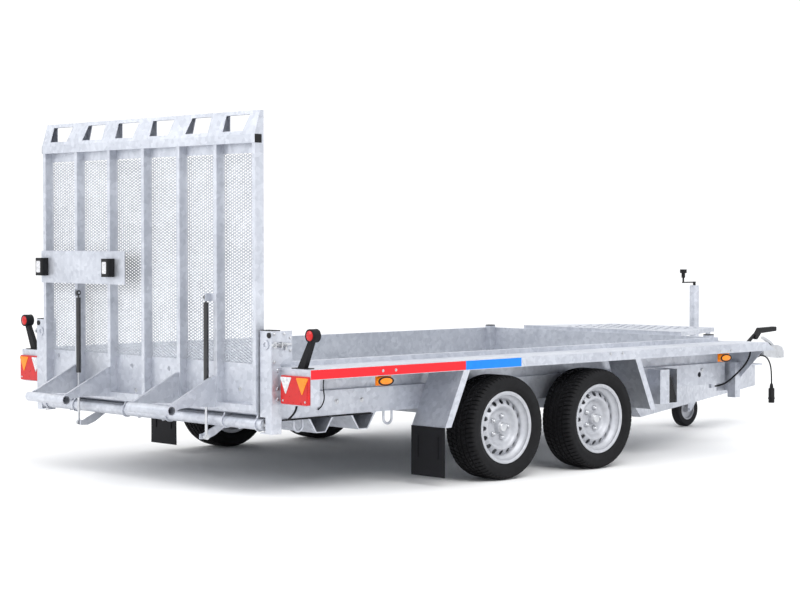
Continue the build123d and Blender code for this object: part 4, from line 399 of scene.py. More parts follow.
def tube(path, radius, beside, steps=12):
    """A circle carried along path: centre + r (n cos t + b sin t).

    Here n is the cross product of the tangent and beside, and b is that of the tangent and n.
    """
    path = np.asarray(path, dtype=float)
    tangent = unit(np.gradient(path, axis=0))
    normal = unit(np.cross(tangent, beside))
    third = np.cross(tangent, normal)
    radii = np.broadcast_to(radius, len(path)).astype(float)
    path = np.concatenate([path[:1], path, path[-1:]])
    normal = np.concatenate([normal[:1], normal, normal[-1:]])
    third = np.concatenate([third[:1], third, third[-1:]])
    radii = np.concatenate([[0.0], radii, [0.0]])[:, None, None]
    turn = np.linspace(0, 2 * pi, steps, endpoint=False)[None, :, None]
    points = path[:, None] + radii * (normal[:, None] * np.cos(turn) + third[:, None] * np.sin(turn))
    return points, grid_triangles(len(path), steps, close_columns=True)


def slab(outline, thickness, bevel=0.0004, rise=0.0):
    """An outline carried up a thickness, drawn in towards its middle by the bevel at both faces.

    The last row lies on the middle, higher by rise, which domes the top.
    """
    outline = np.asarray(outline, dtype=float)
    middle = outline.mean(axis=0)
    away = outline - middle
    length = np.linalg.norm(away, axis=1, keepdims=True)
    rows = []
    for inset, share, height in (
        (0.0, 0.0, 0.0),
        (bevel, 1.0, 0.0),
        (0.0, 1.0, bevel),
        (0.0, 1.0, thickness - bevel),
        (bevel, 1.0, thickness),
        (0.0, 0.75, thickness + rise * 0.45),
        (0.0, 0.4, thickness + rise * 0.85),
        (0.0, 0.0, thickness + rise),
    ):
        flat = middle + away * share * (1 - inset / length)
        rows.append(np.column_stack([flat, np.full(len(flat), height)]))
    return np.stack(rows), grid_triangles(len(rows), len(outline), close_columns=True)


def rounded_outline(width, height, radius, steps=6):
    """A rectangle whose corners are quarter circles, as points in turn."""
    turn = np.linspace(0, pi / 2, steps)
    arcs = []
    for quarter, (side, end) in enumerate(((1, 1), (-1, 1), (-1, -1), (1, -1))):
        angle = turn + quarter * pi / 2
        centre = np.array([side * (width / 2 - radius), end * (height / 2 - radius)])
        arcs.append(centre + radius * np.stack([np.cos(angle), np.sin(angle)], 1))
    return np.concatenate(arcs)


BACKWARDS, FORWARDS = (-1.0, 0.0, 0.0), (1.0, 0.0, 0.0)
RIGHTWARDS, LEFTWARDS, UPWARDS = (0.0, -1.0, 0.0), (0.0, 1.0, 0.0), (0.0, 0.0, 1.0)
HEX_BOLT = turned(
    (
        (0.0, 0.0),
        (1.55, 0.0),
        (1.60, 0.04),
        (1.60, 0.20),
        (1.50, 0.25),
        (1.00, 0.25, 1.0),
        (1.00, 0.90, 1.0),
        (0.86, 1.02, 0.4),
        (0.80, 1.00),
        (0.0, 0.98),
    )
)
DOME_NUT = turned(
    (
        (0.0, 0.0),
        (1.0, 0.0, 1.0),
        (1.0, 0.85, 1.0),
        (0.88, 1.0, 0.4),
        (0.80, 1.25),
        (0.62, 1.55),
        (0.35, 1.72),
        (0.0, 1.78),
    )
)
print("bolt of", len(HEX_BOLT[1]), "triangles, nut of", len(DOME_NUT[1]))

# %% [markdown]
# ## Tyres
#
# The CAD tyre is a plain ring with a chamfer at each shoulder. A real one has a squarish crown, sidewalls
# that bulge, grooves right round, and short cuts across the ribs. The section here is a superellipse from
# the widest point to the crown. The grooves are rows of the section drawn in, and the cuts are columns of
# the turn drawn in, so that a cut has steep walls without needing a very fine grid. The columns are
# sheared sideways with the distance from the middle, which gives the cuts their slant.

# %% Build the four tyres
TYRE_RADIUS = 0.2625
RIM_RADIUS = 0.182
BEAD_SEAT = 0.1653
HALF_BEAD = 0.0797
WIDEST = 0.218
HALF_WIDE = 0.0973
WHEEL_Y = 1.0895
HALF_BASE = 0.355
PITCHES = 68
CROWN_POWER = 5.0
GROOVE_EDGES = (52.5, 45.5, 18.5, 10.5)
GROOVE_DEPTH = 0.0072
CUT_FOOT = 0.244
# Where the columns of one pitch lie, as shares of it, and which two of them form a cut's floor
COLUMN_SHARES = np.array([0.0, 0.28, 0.32, 0.48, 0.52, 0.76])
CUT_SHARES = (0.32, 0.48)
# How many pitches the cuts lean forwards, and how far from the middle they do so
SLANT = 1.21
SLANT_REACH = 0.09
FINE_RIB = 0.0006
# Each row: the radius and the width of a fine rib round the sidewall
SIDE_RIBS = ((0.191, 0.0016), (0.240, 0.0018))


def tyre_section():
    """Radius, distance from the middle and depth of groove of each row, from one bead to the other."""
    lower = np.linspace(0, 1, 9)
    low_radius = RIM_RADIUS + 0.001 + (WIDEST - RIM_RADIUS - 0.001) * lower
    low_y = HALF_BEAD + (HALF_WIDE - HALF_BEAD) * np.sin(lower * pi / 2)
    side_turn = np.linspace(0, 1, 12)[1:] * 1.02
    side_y = HALF_WIDE * np.cos(side_turn) ** (2 / CROWN_POWER)
    side_radius = WIDEST + (TYRE_RADIUS - WIDEST) * np.sin(side_turn) ** (2 / CROWN_POWER)
    crown_y = np.array([78, 70, 62, 54, 52.5, 45.5, 44, 36, 28, 20, 18.5, 10.5, 9, 4, 0]) / 1000
    crown_share = (1 - (crown_y / HALF_WIDE) ** CROWN_POWER) ** (1 / CROWN_POWER)
    crown_radius = WIDEST + (TYRE_RADIUS - WIDEST) * crown_share
    groove = np.isin(np.round(crown_y * 1000, 1), GROOVE_EDGES) * GROOVE_DEPTH
    keep_side = side_y > crown_y[0] + 0.002
    radius = np.concatenate([[BEAD_SEAT], low_radius, side_radius[keep_side], crown_radius])
    y = np.concatenate([[HALF_BEAD], low_y, side_y[keep_side], crown_y])
    depth = np.concatenate([np.zeros(len(radius) - len(groove)), groove])
    radius = np.concatenate([radius, radius[-2::-1]])
    depth = np.concatenate([depth, depth[-2::-1]])
    return radius, np.concatenate([-y, y[-2::-1]]), depth


def tyre_surface():
    """x = R sin t, z = R cos t, where R is the section's radius less the deeper of its groove and its cut."""
    radius, y, depth = tyre_section()
    turn = ((np.arange(PITCHES)[:, None] + COLUMN_SHARES) / PITCHES * 2 * pi).ravel()
    in_cut = np.tile(np.isin(COLUMN_SHARES, CUT_SHARES), PITCHES)
    away = np.abs(y)
    # Depth of the cuts in millimetres, in the middle rib, the ribs beside it and the shoulders
    cut_places = (0.0, 0.010, 0.0185, 0.044, 0.054, 0.085, 0.094, 0.098)
    cut_depth = np.interp(away, cut_places, (4, 4, 6, 6, 7, 7, 3, 0))
    cut_depth = np.where(radius > CUT_FOOT, cut_depth / 1000, 0.0)
    slant = SLANT * np.sin(np.clip(away / SLANT_REACH, 0, 1) * pi / 2) * 2 * pi / PITCHES
    fine_rib = sum(FINE_RIB * np.exp(-(((radius - place) / wide) ** 2)) for place, wide in SIDE_RIBS)
    drawn_in = np.maximum(depth[None, :], in_cut[:, None] * cut_depth[None, :])
    ring = radius[None, :] - drawn_in
    angle = turn[:, None] + slant[None, :]
    flat_y = np.broadcast_to(np.sign(y) * (away + fine_rib * (radius < 0.25)), ring.shape)
    points = np.stack([ring * np.sin(angle), flat_y, ring * np.cos(angle)], -1)
    return points, grid_triangles(len(turn), len(radius), close_rows=True, close_columns=True)


def wheel_middle(end, side):
    """The middle of a road wheel: end is -1 for the rear axle, side is 1 for the left."""
    return np.array([AXLES_X + end * HALF_BASE, side * WHEEL_Y, TYRE_RADIUS])


ONE_TYRE = tyre_surface()
# Each row: the wheel's name, its end and its side
WHEELS = (
    ("rear_left", -1, 1),
    ("rear_right", -1, -1),
    ("front_left", 1, 1),
    ("front_right", 1, -1),
)
for wheel, end, side in WHEELS:
    tyre = (ONE_TYRE[0].reshape(-1, 3) + wheel_middle(end, side), ONE_TYRE[1])
    add_piece("tread_" + wheel, tyre, "roadwheel_" + wheel, "tyre", None, 28.0, ("tyre_" + wheel,))

# %% [markdown]
# ## Rims
#
# The steel rim is one profile turned round the axle, except for its sixteen holes. They could be cut with
# a Boolean, which leaves long thin triangles. Here the cone that carries them is made of sixteen equal
# cells, and each cell's grid runs from its four straight edges to a circle, so the holes are round and
# their edges clean.

# %% Turn the rims and pierce their discs
# Each profile has rows of radius and distance outwards from the wheel's middle
HOLES = 16
PER_SIDE = 6
HOLE_RING = 0.128
HOLE_RADIUS = 0.0125
FRONT_CONE = ((0.114, 0.0565), (0.142, 0.0355))
BACK_CONE = ((0.112, 0.0525), (0.1415, 0.0305))
RIM_OUTSIDE = (
    (0.1415, 0.0305),
    (0.1422, 0.0270),
    (0.1422, -0.008),
    (0.160, -0.026),
    (0.160, -0.0825),
    (0.162, -0.084),
    (0.180, -0.084),
    (0.182, -0.082),
    (0.182, -0.080),
    (0.165, -0.080),
    (0.165, -0.028),
    (0.147, -0.010),
    (0.147, 0.044),
    (0.165, 0.056),
    (0.165, 0.080),
    (0.182, 0.080),
    (0.182, 0.0825),
    (0.1805, 0.0840),
    (0.1760, 0.0838),
    (0.1705, 0.0815),
    (0.1670, 0.0775),
    (0.1640, 0.0700),
    (0.1615, 0.0640),
    (0.1575, 0.0590),
    (0.1500, 0.0535),
    (0.1450, 0.0490),
    (0.1425, 0.0430),
    (0.1420, 0.0355),
)
DISC_FRONT = (
    (0.1140, 0.0565),
    (0.1110, 0.0580),
    (0.1070, 0.0578),
    (0.1015, 0.0545),
    (0.0950, 0.0470),
    (0.0890, 0.0375),
    (0.0845, 0.0320),
    (0.0785, 0.0287),
    (0.0700, 0.0280),
    (0.0380, 0.0280),
    (0.0345, 0.0295),
    (0.0325, 0.0330),
    (0.0305, 0.0520),
    (0.0280, 0.0550),
    (0.0, 0.0560),
)
DISC_BACK = (
    (0.112, 0.0525),
    (0.106, 0.0525),
    (0.099, 0.0460),
    (0.085, 0.028),
    (0.080, 0.025),
    (0.080, -0.022),
    (0.112, -0.030),
    (0.112, -0.1115),
    (0.0201, -0.1115),
    (0.0201, 0.042),
    (0.0, 0.042),
)


def cone_height(radius, cone):
    """How far out a cone lies at a radius, straight between its two rows."""
    (inner, inner_height), (outer, outer_height) = cone
    return inner_height + (radius - inner) / (outer - inner) * (outer_height - inner_height)


def cell_side(cone, half_turn):
    """Rows from a cell's four edges to its circle: each point is a share of edge point and circle point."""
    (inner, _), (outer, _) = cone
    even = np.linspace(1, -1, PER_SIDE, endpoint=False)
    flat = np.ones(PER_SIDE)
    across = np.concatenate([flat, even, -flat, -even]) * half_turn
    along = np.concatenate([even, -flat, -even, flat])
    radius = inner + (along + 1) / 2 * (outer - inner)
    edge = np.stack([radius * np.cos(across), radius * np.sin(across)], 1)
    turn = pi / 4 + np.arange(4 * PER_SIDE) * 2 * pi / (4 * PER_SIDE)
    circle = np.stack([HOLE_RING + HOLE_RADIUS * np.cos(turn), HOLE_RADIUS * np.sin(turn)], 1)
    rows = [edge * (1 - share) + circle * share for share in (0.0, 0.4, 0.75, 0.92, 1.0)]
    flat_points = np.stack(rows)
    distance = np.linalg.norm(flat_points, axis=2)
    return np.dstack([flat_points, cone_height(distance, cone)])


half_cell = pi / HOLES
front_rows = cell_side(FRONT_CONE, half_cell)
back_rows = cell_side(BACK_CONE, half_cell)
cell = np.concatenate([front_rows, back_rows[::-1]])
cell_faces = grid_triangles(len(cell), 4 * PER_SIDE, close_columns=True)
cells = []
for number in range(HOLES):
    lean = 2 * half_cell * number
    spun = np.array([[cos(lean), sin(lean), 0.0], [-sin(lean), cos(lean), 0.0], [0.0, 0.0, 1.0]])
    cells.append((cell.reshape(-1, 3) @ spun, cell_faces))

# With as many columns as the cells' inner edges have points, the turned parts meet the cells point by point
profiles = (RIM_OUTSIDE, DISC_FRONT, DISC_BACK)
outside, disc_front, disc_back = (turned(rows, HOLES * PER_SIDE) for rows in profiles)
RIM = joined(outside, disc_front, (disc_back[0], disc_back[1][:, ::-1]), *cells)
for wheel, end, side in WHEELS:
    rim = placed(RIM, wheel_middle(end, side), (0.0, side, 0.0))
    add_piece("rim_" + wheel, rim, "roadwheel_" + wheel, "wheel", None, 32.0, ("wheel_" + wheel,))

# %% [markdown]
# ## Nuts and hub caps
#
# A ring of domed nuts holds each wheel, and a pressed cap covers the hub. Each is a profile turned round
# its own axis, one of the oldest ways to make a shape.

# %% Nuts and hub caps
NUTS = 5
NUT_CIRCLE = 0.056
NUT_SIZE = 0.0118
NUT_SEAT = 0.0280
CAP_SEAT = 0.0550
CAP = turned(
    (
        (0.0, 0.0),
        (0.0245, 0.0),
        (0.0250, 0.0015),
        (0.0235, 0.0030),
        (0.0225, 0.0080),
        (0.0200, 0.0105),
        (0.0100, 0.0120),
        (0.0, 0.0124),
    ),
    36,
)
nut_turn = np.arange(NUTS) * 2 * pi / NUTS
nut_ring = np.stack([np.cos(nut_turn), np.zeros(NUTS), np.sin(nut_turn)], 1) * NUT_CIRCLE
for wheel, end, side in WHEELS:
    out = np.array([0.0, side, 0.0])
    middle = wheel_middle(end, side)
    nuts = [placed(DOME_NUT, middle + out * NUT_SEAT + spot, out, scale=NUT_SIZE) for spot in nut_ring]
    cap = placed(CAP, middle + out * CAP_SEAT, out)
    add_piece("nuts_" + wheel, joined(*nuts), "roadwheel_" + wheel, "bare_steel")
    add_piece("hub_cap_" + wheel, cap, "roadwheel_" + wheel, "bare_steel")

# %% [markdown]
# ## Expanded mesh
#
# The ramp's bays are filled with expanded metal: a sheet that is slit and pulled until each slit opens
# into a diamond, with every strand twisted a little out of the plane. An image with holes in it would
# look flat from the side. Here the diamonds are real: each is a ring of four flat faces between an outer
# and an inner diamond, the inner one's top drawn back and its bottom drawn forward for the twist. Edges
# used by one face only are the borders, and each gets a wall through the sheet's thickness.

# %% Weave the panels
BAR_PITCH = 0.28833
BAY_WIDTH = BAR_PITCH - 0.024
MESH_FOOT = 0.623
MESH_HEAD = 1.607
MESH_REAR_X = AXLES_X - 1.6905
MESH_SHEET = 0.0018
COLUMNS = 8
ROWS = 66
STRAND = 0.0029
TWIST = 0.0011


def panel(middle_y):
    """Rings between outer diamonds (half width a, half height b) and inner ones drawn in by the strand."""
    half_wide = BAY_WIDTH / COLUMNS / 2
    half_high = (MESH_HEAD - MESH_FOOT) / ROWS / 2
    even = np.stack(np.meshgrid(np.arange(COLUMNS) + 0.5, np.arange(ROWS) + 0.5), -1).reshape(-1, 2)
    odd = np.stack(np.meshgrid(np.arange(COLUMNS - 1) + 1.0, np.arange(ROWS - 1) + 1.0), -1).reshape(-1, 2)
    centres = np.concatenate([even, odd]) * (2 * half_wide, 2 * half_high)
    centres += (middle_y - BAY_WIDTH / 2, MESH_FOOT)
    compass = np.array([(1, 0), (0, 1), (-1, 0), (0, -1)], dtype=float)
    outer = centres[:, None] + compass * (half_wide, half_high)
    inner = centres[:, None] + compass * (half_wide - 2.1 * STRAND, half_high - STRAND)
    twist = np.broadcast_to(np.array([0.0, -TWIST, 0.0, TWIST]), inner.shape[:2])
    flat = np.concatenate([outer, inner], axis=1).reshape(-1, 2)
    shift = np.concatenate([np.zeros(outer.shape[:2]), twist], axis=1).reshape(-1)
    corner = np.arange(4)
    cell = np.arange(len(centres))[:, None] * 8
    after = (corner + 1) % 4
    first = np.stack([cell + corner, cell + after, cell + 4 + after], -1).reshape(-1, 3)
    second = np.stack([cell + corner, cell + 4 + after, cell + 4 + corner], -1).reshape(-1, 3)
    faces = np.concatenate([first, second])
    keys = np.column_stack([np.round(flat, 5), np.round(shift, 5)])
    unique, back = np.unique(keys, axis=0, return_inverse=True)
    faces = back.reshape(-1)[faces]
    sides = np.concatenate([faces[:, [0, 1]], faces[:, [1, 2]], faces[:, [2, 0]]])
    _, number, count = np.unique(np.sort(sides, axis=1), axis=0, return_inverse=True, return_counts=True)
    border = sides[count[number.reshape(-1)] == 1]
    total = len(unique)
    rear = np.column_stack([MESH_REAR_X + unique[:, 2], unique[:, 0], unique[:, 1]])
    front = rear + (MESH_SHEET, 0.0, 0.0)
    walls = np.concatenate(
        [
            np.stack([border[:, 1], border[:, 0], border[:, 0] + total], 1),
            np.stack([border[:, 1], border[:, 0] + total, border[:, 1] + total], 1),
        ]
    )
    return np.concatenate([rear, front]), np.concatenate([faces, faces[:, ::-1] + total, walls])


panels = [panel((index - 2.5) * BAR_PITCH) for index in range(6)]
add_piece("expanded_mesh", joined(*panels), "ramp", "galvanised", zinc_mesh, 20.0, ("ramp_mesh",))

# %% [markdown]
# ## Stripes
#
# A red and a blue film run along the fender rail, on both sides of the trailer. They are thin enough to
# be drawn in a texture, but a film of its own, a third of a millimetre thick with rounded corners, keeps
# a crisp end and can be given the soft gloss of vinyl.

# %% Lay the films
RAIL_Y = 1.187
FILM = 0.00035
FILM_FOOT, FILM_HEAD = 0.5665, 0.6100
FILM_START, FILM_CHANGE, FILM_STOP = -1.664, -0.660, -0.262


def film(start, stop):
    """A rounded slab on the right rail, from start to stop along the trailer."""
    outline = rounded_outline(stop - start, FILM_HEAD - FILM_FOOT, 0.002)
    middle = (AXLES_X + (start + stop) / 2, -RAIL_Y, (FILM_FOOT + FILM_HEAD) / 2)
    return placed(slab(outline, FILM, 0.0001), middle, RIGHTWARDS)


red_band = both_sides(film(FILM_START, FILM_CHANGE))
blue_band = both_sides(film(FILM_CHANGE, FILM_STOP))
add_piece("red_film", red_band, "chassis", "red_lens", red_film, 30.0)
add_piece("blue_film", blue_band, "chassis", "black_plastic", blue_film, 30.0)

# %% [markdown]
# ## Lamps
#
# The CAD lamps are plain bodies of one colour. A real rear lamp is a red moulding in a dark rim, with a
# clear triangle for the turn signal and an orange one beside it, and two screws. The markers have a
# glowing dome in a black ring. Each lens is a slab with a low dome, because a flat lens would mirror the
# sky as one even patch.

# %% Rear lamps
LAMP_X = AXLES_X - 1.679
LAMP_MIDDLE = (-1.0885, 0.514)
SCREW_SPREAD = 0.078
SCREW_DROP = 0.05
SCREW_SIZE = 0.0032


def rear_lamp_shape(outline, depth, bevel, dome):
    """A slab on the right lamp's face, in the lamp's own plane, facing backwards."""
    return placed(slab(outline, depth, bevel, dome), (LAMP_X, *LAMP_MIDDLE), BACKWARDS)


def wedge(middle, half_wide, high, top):
    """A triangle that stands on its point, with cut corners."""
    nip = 0.004
    return np.array(
        [
            (middle - half_wide + nip, top),
            (middle + half_wide - nip, top),
            (middle + half_wide, top - nip),
            (middle + nip / 2, top - high),
            (middle - nip / 2, top - high),
            (middle - half_wide, top - nip),
        ]
    )[::-1]


# In a shape that faces backwards, x runs outwards on the trailer's right side
lens = rear_lamp_shape(rounded_outline(0.181, 0.122, 0.008), 0.0016, 0.0006, 0.0008)
clear_wedge = rear_lamp_shape(wedge(-0.0575, 0.0385, 0.076, 0.0590), 0.0042, 0.0006, 0.0006)
orange_wedge = rear_lamp_shape(wedge(0.0570, 0.0400, 0.076, 0.0590), 0.0042, 0.0006, 0.0006)
lamp_y, lamp_z = LAMP_MIDDLE
screws = [
    placed(HEX_BOLT, (LAMP_X - 0.002, lamp_y + y, lamp_z - SCREW_DROP), BACKWARDS, scale=SCREW_SIZE)
    for y in (SCREW_SPREAD, -SCREW_SPREAD)
]
add_piece("rear_lamp_lens", both_sides(lens), "chassis", "red_lens")
add_piece("clear_wedges", both_sides(clear_wedge), "chassis", "red_lens", clear_lens)
add_piece("orange_wedges", both_sides(orange_wedge), "chassis", "amber_lens")
add_piece("lamp_screws", both_sides(joined(*screws)), "chassis", "bare_steel")

# %% Outline markers, side markers and plate lamps
ROUND = 32
dome_rows = ((0.0, 0.0), (0.025, 0.0), (0.025, 0.003), (0.023, 0.007), (0.016, 0.0105), (0.0, 0.012))
ring_rows = ((0.0245, 0.0), (0.03, 0.0), (0.0315, 0.002), (0.031, 0.006), (0.0275, 0.0075), (0.0245, 0.006))
marker_dome = turned(dome_rows, ROUND)
ring_triangles = grid_triangles(len(ring_rows), ROUND, close_rows=True, close_columns=True)
marker_ring = (turned(ring_rows, ROUND)[0], ring_triangles)
MARKER_X = AXLES_X - 1.639
MARKER_HALF = 0.016
rear_face = (MARKER_X - MARKER_HALF, -1.174, 0.766)
front_face = (MARKER_X + MARKER_HALF, -1.174, 0.766)
rings = joined(placed(marker_ring, rear_face, BACKWARDS), placed(marker_ring, front_face, FORWARDS))
rear_dome = placed(marker_dome, rear_face, BACKWARDS)
front_dome = placed(marker_dome, front_face, FORWARDS)
add_piece("marker_red", both_sides(rear_dome), "chassis", "red_lens")
add_piece("marker_clear", both_sides(front_dome), "chassis", "red_lens", clear_lens)
add_piece("marker_rings", both_sides(rings), "chassis", "black_rubber")

oval_turn = np.linspace(0, 2 * pi, 48, endpoint=False)
oval = np.stack([np.cos(oval_turn), np.sin(oval_turn)], 1)
OVAL_HALF = np.array([0.040, 0.0155])
OVAL_RIM = np.array([0.010, 0.007])
side_lens = slab(oval * OVAL_HALF, 0.003, 0.001, 0.004)
# Each row: the share of the rim's width, and the height
rim_table = ((0.0, 0.0), (1.0, 0.0), (0.25 / 0.27, 0.003), (0.05 / 0.27, 0.0042), (0.0, 0.003))
rim_rows = [
    np.column_stack([oval * (OVAL_HALF + OVAL_RIM * share), np.full(len(oval), height)])
    for share, height in rim_table
]
side_rim = (np.stack(rim_rows), grid_triangles(len(rim_rows), len(oval), close_rows=True, close_columns=True))
spots = [(AXLES_X + x, -RAIL_Y - 0.0003, 0.538) for x in (-1.196, 1.420)]
side_lenses = joined(*[placed(side_lens, spot, RIGHTWARDS) for spot in spots])
side_rims = joined(*[placed(side_rim, spot, RIGHTWARDS) for spot in spots])
add_piece("side_lenses", both_sides(side_lenses), "chassis", "amber_lens")
add_piece("side_rims", both_sides(side_rims), "chassis", "black_plastic")

PLATE_LAMP_X = AXLES_X - 1.804
window = slab(rounded_outline(0.036, 0.060, 0.006), 0.0008, 0.0003)
windows = [placed(window, (PLATE_LAMP_X, y, 1.0615), BACKWARDS) for y in (0.817, 0.227)]
add_piece("plate_lamp_windows", joined(*windows), "ramp", "red_lens", clear_lens)

# %% [markdown]
# ## Bolts, loops and springs
#
# The small fasteners tell the size of everything else. Their places were read from the photograph and
# laid on the faces that carry them. They all come from one hexagon head, scaled, so the whole set is one
# list of places.

# %% Bolt heads on the chassis
# Each row: x from the middle between the axles, y of the face on the right side, z, and the head's half width
SIDE_BOLTS = (
    (-1.215, -1.1874, 0.588, 0.0045),
    (-1.132, -1.1874, 0.588, 0.0045),
    (0.426, -1.1870, 0.600, 0.0055),
    (0.523, -1.1870, 0.600, 0.0055),
    (1.374, -1.1870, 0.578, 0.0055),
    (1.466, -1.1870, 0.578, 0.0055),
    (-1.680, -0.9690, 0.599, 0.0080),
    (-1.680, -0.9690, 0.515, 0.0080),
    (-1.680, -0.9690, 0.465, 0.0080),
    (-1.139, -0.9550, 0.434, 0.0080),
    (-1.300, -0.9550, 0.434, 0.0080),
    (1.210, -0.9550, 0.455, 0.0080),
    (1.500, -0.9550, 0.455, 0.0080),
    (-1.700, -0.9080, 0.345, 0.0125),
)
right_heads = [placed(HEX_BOLT, (AXLES_X + x, y, z), RIGHTWARDS, scale=size) for x, y, z, size in SIDE_BOLTS]
add_piece("side_bolts", both_sides(joined(*right_heads)), "chassis", "bare_steel")

# %% Lashing loops under the side beams and springs on the latches
def loop(x, y, top, foot, half, rod):
    """A U of round bar: two legs joined by half a circle, in a plane along the trailer."""
    turn_down = np.linspace(0, pi, 16)
    arc = np.stack([half * np.cos(turn_down), np.zeros(16), -half * np.sin(turn_down)], 1)
    arc += (0.0, 0.0, foot + half)
    legs = np.array([[half, 0.0, top]]), np.array([[-half, 0.0, top]])
    path = np.concatenate([legs[0], arc, legs[1]]) + (AXLES_X + x, y, 0.0)
    return tube(path, rod, (0.0, 1.0, 0.0))


loops = [loop(x, -0.930, 0.3705, 0.305, 0.0272, 0.006) for x in (-1.520, -0.945)]
add_piece("lashing_loops", both_sides(joined(*loops)), "chassis", "galvanised", smooth=40.0)


def coil(start, stop, y, z, radius, wire, turns):
    """A helix round a line along the trailer: y + r cos t, z + r sin t, with x even in t."""
    steps = int(turns * 20)
    turn = np.linspace(0, turns * 2 * pi, steps)
    x = np.linspace(start, stop, steps) + AXLES_X
    path = np.stack([x, y + radius * np.cos(turn), z + radius * np.sin(turn)], 1)
    return tube(path, wire, (1.0, 0.0, 0.0), 8)


latch_spring = coil(-1.690, -1.632, -0.980, 0.718, 0.0098, 0.0016, 9)
add_piece("latch_springs", both_sides(latch_spring), "chassis", "bare_steel", smooth=50.0)

# %% Latch plates and black caps
POST_REAR_X = AXLES_X - 1.714
POST_SIDE_Y = -0.969
POST_TOP = 0.782
LATCH_PLATE = 0.003
latch_plate = slab(rounded_outline(0.122, 0.155, 0.004), LATCH_PLATE, 0.0005)
latch_plate = placed(latch_plate, (AXLES_X - 1.652, POST_SIDE_Y, 0.7045), RIGHTWARDS)
plate_heads = [
    placed(HEX_BOLT, (AXLES_X + x, POST_SIDE_Y - LATCH_PLATE, z), RIGHTWARDS, scale=0.0055)
    for x, z in ((-1.700, 0.768), (-1.640, 0.768), (-1.700, 0.640), (-1.604, 0.690), (-1.604, 0.748))
]
add_piece("latch_plates", both_sides(latch_plate), "chassis", "galvanised")
add_piece("latch_bolts", both_sides(joined(*plate_heads)), "chassis", "bare_steel")
post_cap = slab(rounded_outline(0.056, 0.083, 0.004), 0.004, 0.001)
post_cap = placed(post_cap, (POST_REAR_X + 0.028, -0.9275, POST_TOP), UPWARDS, up=LEFTWARDS)
front_cap = slab(rounded_outline(0.047, 0.047, 0.005), 0.006, 0.0015, 0.002)
front_cap = placed(front_cap, (AXLES_X + 1.6625, -0.8775, 0.646), UPWARDS, up=LEFTWARDS)
post_plug = turned(((0.0, 0.0), (0.0135, 0.0), (0.0130, 0.004), (0.0, 0.006)))
post_plug = placed(post_plug, (POST_REAR_X, -0.952, POST_TOP - 0.020), BACKWARDS)
add_piece("black_caps", both_sides(joined(post_cap, front_cap, post_plug)), "chassis", "black_plastic")

# %% [markdown]
# ## Gaiter and cords
#
# The overrun device is covered by a rubber bellows. Its folds are a cosine of the distance along it,
# which is smoother than the CAD model's straight cones. The two cables repeat the routes of the CAD model
# as smooth NURBS curves with a round bevel: the first lies against the trailer and is held at both ends,
# and the second is free and ends in its plug.

# %% Bellows
GAITER_START = AXLES_X + 3.220
GAITER_LENGTH = 0.110
COUPLING_Z = 0.452
FOLDS = 10
fold_turn = np.linspace(0, 1, 8 * FOLDS + 1) * FOLDS * 2 * pi
fold_radius = 0.0385 - 0.0045 * np.cos(fold_turn) + 0.0008 * np.cos(2 * fold_turn)
bellows_rows = np.column_stack([fold_radius, fold_turn / fold_turn[-1] * GAITER_LENGTH])
bellows_rows = np.concatenate([[(0.0, 0.0)], bellows_rows, [(0.0, GAITER_LENGTH)]])
bellows = placed(turned(bellows_rows, 40), (GAITER_START, 0.0, COUPLING_Z), FORWARDS)
add_piece("bellows", bellows, "chassis", "black_rubber", smooth=50.0, stands_for=("gaiter",))

# %% Cables held against the chassis
def held_wire(points, radius):
    """A quadratic spline through the middles of the runs, with the points as its controls, as a thin tube."""
    controls = np.array(points) + (AXLES_X, 0.0, 0.0)
    middles = (controls[1:] + controls[:-1]) / 2
    share = np.linspace(0, 1, 9)[:, None]
    bends = [
        (1 - share) ** 2 * start + 2 * share * (1 - share) * control + share**2 * stop
        for start, control, stop in zip(middles[:-1], controls[1:-1], middles[1:])
    ]
    path = np.concatenate([controls[:1], *[bend[:-1] for bend in bends], middles[-1:], controls[-1:]])
    return tube(path, radius, (0.0, 0.35, 1.0), 10)


brake_cable = (
    (-1.640, -0.958, 0.366),
    (-1.500, -0.9595, 0.366),
    (-1.300, -0.9595, 0.367),
    (-1.080, -0.958, 0.366),
)
lamp_cable = (
    (-1.652, -1.075, 0.470),
    (-1.640, -1.060, 0.425),
    (-1.625, -1.015, 0.392),
    (-1.618, -0.972, 0.368),
    (-1.600, -0.959, 0.366),
)
marker_cable = (
    (-1.505, -1.105, 0.609),
    (-1.500, -1.090, 0.560),
    (-1.470, -1.050, 0.515),
    (-1.415, -1.000, 0.460),
    (-1.400, -0.965, 0.420),
    (-1.420, -0.9575, 0.402),
)
wires = joined(held_wire(brake_cable, 0.004), held_wire(lamp_cable, 0.005), held_wire(marker_cable, 0.003))
add_piece("held_wires", both_sides(wires), "chassis", "black_rubber", smooth=60.0)

# %% Two cables as NURBS curves
# The same points as the CAD model's routes, in metres
CABLE_X, CABLE_Y, CABLE_TOP = AXLES_X + 1.770, -1.100, 0.609
CLIP_X, CLIP_Y, CABLE_LOW = AXLES_X + 1.630, -0.938, 0.354
CABLE_POINTS = (
    (CABLE_X, CABLE_Y, CABLE_TOP),
    (CABLE_X, CABLE_Y, CABLE_TOP - 0.060),
    (CABLE_X - 0.012, CABLE_Y + 0.025, CABLE_TOP - 0.125),
    (CABLE_X - 0.038, CABLE_Y + 0.080, CABLE_TOP - 0.190),
    (CLIP_X + 0.084, CLIP_Y - 0.031, CABLE_LOW + 0.018),
    (CLIP_X + 0.048, CLIP_Y, CABLE_LOW),
    (CLIP_X, CLIP_Y, CABLE_LOW),
)
LEAD_X, LEAD_Y, LEAD_Z = AXLES_X + 3.200, -0.060, 0.430
PLUG_X, PLUG_Y, PLUG_TOP = LEAD_X + 0.200, LEAD_Y - 0.008, 0.235
